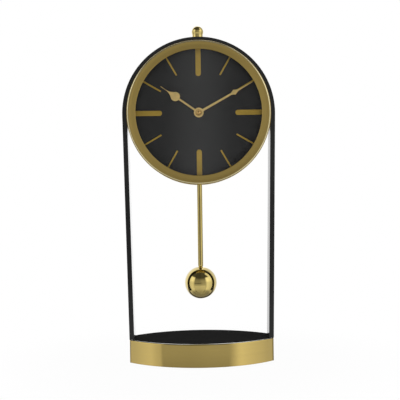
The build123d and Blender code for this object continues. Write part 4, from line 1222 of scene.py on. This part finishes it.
class CLOCK_OT_cell(bpy.types.Operator):
    """Turns the battery with its rolled shoulders and button, and makes the contacts with their spring"""

    bl_idname = "clock.cell"
    bl_label = "Battery and contacts"

    def execute(self, context):
        colours = context.scene.clock_colours
        steel = grained_finish(colours, "steel")
        depth = (cell_low.y + cell_high.y) / 2
        height = (cell_low.z + cell_high.z) / 2
        radius = (cell_high.z - cell_low.z) / 2
        roll, dip = 0.0007, 0.0005
        foot_roll, end_roll = 0.0003, 0.0002
        foot_reach, end_reach = 0.0002, 0.0004
        button, button_edge, button_height = 0.0027, 0.0003, 0.001
        foot, tip = cell_low.x, cell_high.x
        end = tip - button_height
        section = [(foot, 0.0), (foot, radius - 2 * roll), (foot + foot_roll, radius - roll), (foot + roll, radius)]
        section += [(end - roll, radius), (end - end_roll, radius - roll), (end - dip, radius - 2.2 * roll)]
        section += [(end - dip, button + button_edge), (end, button), (tip - button_edge, button)]
        section += [(tip, button - button_edge), (tip, 0.0)]
        points = [(across, depth, height + out) for across, out in section]
        piece = turned("cell", points, (0, depth, height), (1, 0, 0), 64)
        hand_over(piece, "cell", "cell_wrap", grained_finish(colours, "cell_wrap"), "battery")

        def bare(spot):
            at_end = spot.x > end - end_reach or spot.x < foot + foot_reach
            return at_end and hypot(spot.y - depth, spot.z - height) < radius - roll
        second_finish(piece, steel, bare)
        strip = 0.0004
        self.make_strips(steel, strip, depth, height)
        self.make_spring(steel, contact_low.x + strip, depth, height)
        return {"FINISHED"}

    def make_strips(self, finish, thick, depth, height):
        """A contact strip at each end of the battery."""
        corner = 0.0012
        half_y = (contact_high.y - contact_low.y) / 2
        half_z = (contact_high.z - contact_low.z) / 2
        outline = [(-half_y + corner, -half_z), (half_y - corner, -half_z), (half_y, -half_z + corner)]
        outline += [(half_y, half_z - corner), (half_y - corner, half_z), (-half_y + corner, half_z)]
        outline += [(-half_y, half_z - corner), (-half_y, -half_z + corner)]
        for label, start, step in (("left", contact_low.x, thick), ("right", contact_high.x, -thick)):
            points = [(start, depth + y, height + z) for y, z in outline]
            piece = slab(f"contact_{label}", points, (step, 0, 0))
            soften(piece, width=0.0001)
            hand_over(piece, "stand", "bright_steel", finish, "battery_contacts")

    def make_spring(self, finish, start, depth, height):
        """The wire spring on the left strip, wound from a ring."""
        wire = 0.00025
        coil_radius = 0.0029
        turns, turn_steps = 2, 40
        start_clean()
        bpy.ops.mesh.primitive_circle_add(vertices=10, radius=wire)
        spring = bpy.context.object
        spring.name = "contact_spring"
        bpy.ops.object.mode_set(mode="EDIT")
        bpy.ops.transform.rotate(value=pi / 2, orient_axis="X", center_override=(0, 0, 0))
        bpy.ops.transform.translate(value=(coil_radius, 0, 0))
        bpy.ops.object.mode_set(mode="OBJECT")
        coil = spring.modifiers.new("Coil", "SCREW")
        coil.axis = "Z"
        coil.angle = 2 * pi
        coil.iterations = turns
        coil.steps = turn_steps
        coil.render_steps = turn_steps
        coil.screw_offset = max(0.0001, (cell_low.x - start - 2 * wire) / turns)
        bpy.ops.object.modifier_apply(modifier=coil.name)
        spring.matrix_world = Matrix.Translation((start + wire, depth, height)) @ Matrix.Rotation(pi / 2, 4, "Y")
        bpy.ops.object.transform_apply(location=True, rotation=True, scale=True)
        bpy.ops.object.mode_set(mode="EDIT")
        bpy.ops.mesh.select_all(action="SELECT")
        bpy.ops.mesh.fill_holes(sides=0)
        seal(spring)
        hand_over(spring, "stand", "bright_steel", finish, "battery_contacts")


class CLOCK_OT_back(bpy.types.Operator):
    """Softens the back cover, the movement box and the pendulum bracket"""

    bl_idname = "clock.back"
    bl_label = "Back"

    def execute(self, context):
        for node, name, width, slot, key in (
                ("back_cover", "cover", 0.00025, "black_frame", "bar_black"),
                ("rear_shell", "movement_box", 0.0004, "black_plastic", "black_plastic"),
                ("pendulum_bracket", "bracket", 0.0003, "black_plastic", "black_plastic")):
            piece = soften(smoothed_copy(node, name), width)
            hand_over(piece, "stand", slot, grained_finish(context.scene.clock_colours, key), node)
        return {"FINISHED"}


class CLOCK_OT_finishes(bpy.types.Operator):
    """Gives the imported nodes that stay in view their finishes"""

    bl_idname = "clock.finishes"
    bl_label = "Finishes of the other pieces"

    def execute(self, context):
        colours = context.scene.clock_colours
        coil_low, coil_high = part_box("drive_coil")
        dress(deck_paint(colours), "base_deck")
        dress(dial_paint(colours), "dial", "spacer_ring", "bush_washer", "bush_nut")
        dress(clear_glass(), "lens_glass")
        dress(wheel_brass(colours), "centre_wheel")
        dress(coil_wire(colours, (coil_low.z + coil_high.z) / 2), "drive_coil")
        for key, nodes in (
                ("bar_black", ("base_floor",)),
                ("zinc", ("dial_seat", "saddle_washer", "finial_nut")),
                ("steel", ("centre_arbor", "pivot_pin", "drive_magnet", "hanger_pin")),
                ("black_plastic", ("front_shell",)),
                ("grey_plastic", ("train_plate", "step_motor", "pendulum_hanger")),
                ("white_plastic", ("hour_wheel", "minute_wheel", "motor_pinion")),
                ("board_green", ("circuit_board",))):
            dress(grained_finish(colours, key), *nodes)
        return {"FINISHED"}


# Light of the studio by its direction from the clock. Heights and sides run from -1 to 1, turns are in degrees to the
# right of the camera's side. Each pair is a place and its level; each four are two places and their levels.
room_heights = (
    (-1.0, 0.36), (-0.9, 0.44), (-0.65, 0.70), (-0.36, 0.74), (-0.26, 0.58), (-0.222, 0.38), (-0.207, 0.34),
    (-0.2, 0.40), (-0.192, 0.51), (-0.184, 0.55), (-0.172, 0.52), (-0.12, 0.44), (-0.03, 0.38), (0.21, 0.38),
    (0.34, 0.35), (0.45, 0.26), (0.57, 0.11), (0.64, 0.08), (1.0, 0.08))
room_turns = ((-30, 0.84), (-14, 0.78), (-4, 0.88), (8, 1.08), (30, 1.12))
room_turns_height = (-0.14, -0.1, 0.2, 1.0)
dim_turns = ((-60, 0.0), (-47, 1.0), (-2, 1.0), (16, 0.0))
dim_heights = ((-0.125, -0.1, 0.0, 1.0), (-0.005, 0.03, 1.0, 0.0))
dim_share = 0.42
lamp_turns = (
    (-92, 0.70), (-86, 0.74), (-78, 0.82), (-70, 0.88), (-64, 0.92), (-60, 0.84), (-57, 0.78), (-54, 0.74),
    (-50, 0.68), (-48.5, 0.45), (-47, 0.45), (33, 0.55), (36, 0.59), (40.6, 0.77), (45.5, 0.98), (50, 1.03),
    (55, 0.97), (60, 0.93), (70, 0.84), (80, 0.77), (88, 0.68))
lamp_heights = ((0.0, 0.3, 1.0, 1.45), (0.53, 0.67, 1.0, 0.07), (-0.85, -0.6, 0.4, 1.0))
lamp_edges = ((-48.5, 1.0), (-47.0, 0.0), (33, 0.0), (36, 1.0))
overhead_depth, overhead_height = (-0.36, -0.26, 0.0, 1.0), (0.38, 0.5, 0.0, 1.0)
overhead_side = (0.33, 0.48, 0.0, 1.0)
room_end, back_start = (0.10, 0.17, 1.0, 0.08), (0.37, 0.42, 0.0, 1.0)
gap_shift = (-1.0, -0.27, -0.55, 0.0)
back_height = (-0.6, -0.35, 0.0, 1.0)
back_sides = ((-1.0, 1.0), (0.0, 1.0), (0.05, 1.42), (0.12, 1.42), (0.2, 0.95), (0.5, 0.8), (1.0, 0.8))
back_share = 0.8
stripe_middle, stripe_fade = 0.012, (0.0, 0.052, 0.57, 0.08)
patch_middle, patch_edge = (0.0106, 0.0962), (0.0055, 0.0058, 1.0, 0.0)


def by_turn(tree, turn, stops, share=1.0):
    """Levels by the turn to the right of the camera's side."""
    return levels(tree, turn, [(degrees / 360 + 0.5, level) for degrees, level in stops], share)


def by_place(tree, value, stops, share=1.0):
    """Levels by a height or a side."""
    place = remap(tree, value, -1.0, 1.0, 0.0, 1.0, "LINEAR")
    return levels(tree, place, [((1 + stop) / 2, level) for stop, level in stops], share)


class CLOCK_OT_stage(bpy.types.Operator):
    """Sets the pale floor, the studio's light and the camera"""

    bl_idname = "clock.stage"
    bl_label = "Stage"

    def execute(self, context):
        stage = context.scene.clock_stage
        context.scene.view_settings.view_transform = "Standard"
        self.make_floor(stage)
        self.make_room(context.scene, stage)
        self.set_camera(context.scene, stage)
        self.hide_base_in_mirrors(context.scene)
        return {"FINISHED"}

    def hide_base_in_mirrors(self, scene):
        """Keeps the dark base out of the polished pieces, which mirror a pale room in the photograph."""
        for piece in scene.objects:
            if piece.name.startswith(("base_floor", "band", "tongue_", "tab_screw", "post_screw", "pad_")):
                piece.visible_glossy = False

    def make_floor(self, stage):
        """A pale floor that fades into the white room and keeps the clock's shadow."""
        just_below, floor_radius = -0.0001, 0.6
        fade_start, fade_end = 0.11, 0.3
        start_clean()
        bpy.ops.mesh.primitive_circle_add(
            vertices=64, radius=floor_radius, fill_type="NGON", location=(0, 0, just_below))
        floor = bpy.context.object
        floor.name = "floor"
        bpy.ops.object.transform_apply(location=True)
        finish, tree, shader, place = new_finish("Pale floor")
        tree.nodes.remove(shader)
        reach = tree.nodes.new("ShaderNodeVectorMath")
        reach.operation = "LENGTH"
        tree.links.new(place, reach.inputs[0])
        pale = tree.nodes.new("ShaderNodeBsdfDiffuse")
        pale.inputs["Color"].default_value = (0.95, 0.95, 0.95, 1.0)
        clear = tree.nodes.new("ShaderNodeBsdfTransparent")
        mix = tree.nodes.new("ShaderNodeMixShader")
        share = remap(tree, reach.outputs["Value"], fade_start, fade_end, stage.floor_share, 0.0)
        tree.links.new(share, mix.inputs["Fac"])
        tree.links.new(clear.outputs["BSDF"], mix.inputs[1])
        tree.links.new(pale.outputs["BSDF"], mix.inputs[2])
        tree.links.new(mix.outputs["Shader"], tree.nodes["Material Output"].inputs["Surface"])
        floor.data.materials.append(finish)

    def make_room(self, scene, stage):
        """White behind the clock, a softbox at each side, a small light overhead, a dimmer room behind the camera."""
        scene.world = bpy.data.worlds.new("Studio room")
        scene.world.use_nodes = True
        tree = scene.world.node_tree
        parts = tree.nodes.new("ShaderNodeSeparateXYZ")
        tree.links.new(tree.nodes.new("ShaderNodeTexCoord").outputs["Generated"], parts.inputs["Vector"])
        side, depth, height = parts.outputs["X"], parts.outputs["Y"], parts.outputs["Z"]
        ahead = maths(tree, "MULTIPLY", depth, -1.0)
        turn = remap(tree, maths(tree, "ARCTAN2", side, ahead), -pi, pi, 0.0, 1.0, "LINEAR")
        lamps = by_turn(tree, turn, lamp_turns, stage.lamp_level)
        lamps = product(tree, lamps, *(remap(tree, height, *change) for change in lamp_heights))
        front = self.front_light(tree, stage, turn, height)
        room = blend(tree, by_turn(tree, turn, lamp_edges), front, lamps)
        overhead = product(tree, remap(tree, depth, *overhead_depth), remap(tree, height, *overhead_height),
                           remap(tree, side, *overhead_side))
        room = maths(tree, "MAXIMUM", room, overhead)
        beyond = maths(tree, "ADD", depth, remap(tree, height, *gap_shift, "LINEAR"))
        room = maths(tree, "MULTIPLY", room, remap(tree, beyond, *room_end))
        room = self.dial_stripe(tree, room, side, height, ahead)
        behind = maths(tree, "MULTIPLY", remap(tree, beyond, *back_start), remap(tree, height, *back_height))
        path = tree.nodes.new("ShaderNodeLightPath")
        mirrored_back = maths(tree, "MAXIMUM", path.outputs["Is Glossy Ray"], path.outputs["Is Transmission Ray"])
        mirrored_back = product(tree, mirrored_back, by_place(tree, side, back_sides), behind)
        seen = maths(tree, "MAXIMUM", path.outputs["Is Camera Ray"], mirrored_back)
        room = maths(tree, "MAXIMUM", room, maths(tree, "MULTIPLY", behind, back_share))
        background = tree.nodes["Background"]
        tree.links.new(maths(tree, "MAXIMUM", room, seen), background.inputs["Strength"])
        background.inputs["Color"].default_value = (1.0, 1.0, 1.0, 1.0)

    def front_light(self, tree, stage, turn, height):
        """The room behind the camera: uneven from side to side, and dim at the rod's height."""
        uneven = maths(tree, "SUBTRACT", by_turn(tree, turn, room_turns), 1.0)
        uneven = maths(tree, "MULTIPLY", uneven, remap(tree, height, *room_turns_height))
        front = maths(tree, "MULTIPLY", by_place(tree, height, room_heights, stage.front_level),
                      maths(tree, "ADD", uneven, 1.0))
        dim = product(tree, *(remap(tree, height, *change) for change in dim_heights),
                      by_turn(tree, turn, dim_turns), dim_share)
        return maths(tree, "MULTIPLY", front, maths(tree, "SUBTRACT", 1.0, dim))

    def dial_stripe(self, tree, room, side, height, ahead):
        """Sets a round dark patch with an upright pale stripe into the room, where the dial's glass mirrors it."""
        sideways = maths(tree, "DIVIDE", side, ahead)
        upwards = maths(tree, "DIVIDE", height, ahead)
        off_stripe = maths(tree, "ABSOLUTE", maths(tree, "SUBTRACT", sideways, stripe_middle))
        squares = [maths(tree, "POWER", maths(tree, "SUBTRACT", value, middle), 2.0)
                   for value, middle in zip((sideways, upwards), patch_middle)]
        patch = remap(tree, maths(tree, "ADD", *squares), *patch_edge)
        patch = maths(tree, "MULTIPLY", patch, maths(tree, "GREATER_THAN", ahead, 0.0))
        return blend(tree, patch, room, remap(tree, off_stripe, *stripe_fade))

    def set_camera(self, scene, stage):
        """The photograph's view."""
        yaw, pitch, roll = stage.camera_yaw, stage.camera_pitch, stage.camera_roll
        ahead = Vector((sin(yaw) * cos(pitch), cos(yaw) * cos(pitch), -sin(pitch)))
        level = Vector((cos(yaw), -sin(yaw), 0))
        down = ahead.cross(level)
        right = cos(roll) * level + sin(roll) * down
        below = -sin(roll) * level + cos(roll) * down
        start_clean()
        bpy.ops.object.camera_add()
        camera = bpy.context.object
        camera.name = "camera"
        turned_to = Matrix((right, -below, -ahead)).transposed().to_4x4()
        camera.matrix_world = Matrix.Translation(stage.camera_place) @ turned_to
        camera.data.sensor_width = 36.0
        camera.data.lens = stage.camera_lens
        scene.camera = camera


class CLOCK_PT_panel(bpy.types.Panel):
    """Lists the clock's pieces in the sidebar"""

    bl_idname = "CLOCK_PT_panel"
    bl_label = "Desk pendulum clock"
    bl_space_type = "VIEW_3D"
    bl_region_type = "UI"
    bl_category = "Clock"

    def draw(self, context):
        for operator in operators:
            self.layout.operator(operator.bl_idname)
        for group in (context.scene.clock_sizes, context.scene.clock_colours, context.scene.clock_stage):
            column = self.layout.column()
            for name in group.__annotations__:
                column.prop(group, name)


operators = (
    CLOCK_OT_arch, CLOCK_OT_band, CLOCK_OT_bezel, CLOCK_OT_drum, CLOCK_OT_markers, CLOCK_OT_hour_hand,
    CLOCK_OT_minute_hand, CLOCK_OT_cap, CLOCK_OT_finial, CLOCK_OT_rod, CLOCK_OT_bob, CLOCK_OT_screws,
    CLOCK_OT_pads, CLOCK_OT_knob, CLOCK_OT_cell, CLOCK_OT_back, CLOCK_OT_finishes, CLOCK_OT_stage,
)
groups = (ClockSizes, ClockColours, ClockStage)


def register():
    for item in groups + operators + (CLOCK_PT_panel,):
        bpy.utils.register_class(item)
    bpy.types.Scene.clock_sizes = PointerProperty(type=ClockSizes)
    bpy.types.Scene.clock_colours = PointerProperty(type=ClockColours)
    bpy.types.Scene.clock_stage = PointerProperty(type=ClockStage)


def unregister():
    del bpy.types.Scene.clock_stage
    del bpy.types.Scene.clock_colours
    del bpy.types.Scene.clock_sizes
    for item in reversed(groups + operators + (CLOCK_PT_panel,)):
        bpy.utils.unregister_class(item)


def main():
    register()
    bpy.ops.clock.arch()
    bpy.ops.clock.band()
    bpy.ops.clock.bezel()
    bpy.ops.clock.drum()
    bpy.ops.clock.markers()
    bpy.ops.clock.hour_hand()
    bpy.ops.clock.minute_hand()
    bpy.ops.clock.cap()
    bpy.ops.clock.finial()
    bpy.ops.clock.rod()
    bpy.ops.clock.bob()
    bpy.ops.clock.screws()
    bpy.ops.clock.pads()
    bpy.ops.clock.knob()
    bpy.ops.clock.cell()
    bpy.ops.clock.back()
    bpy.ops.clock.finishes()
    bpy.ops.clock.stage()


if __name__ == "__main__":
    main()
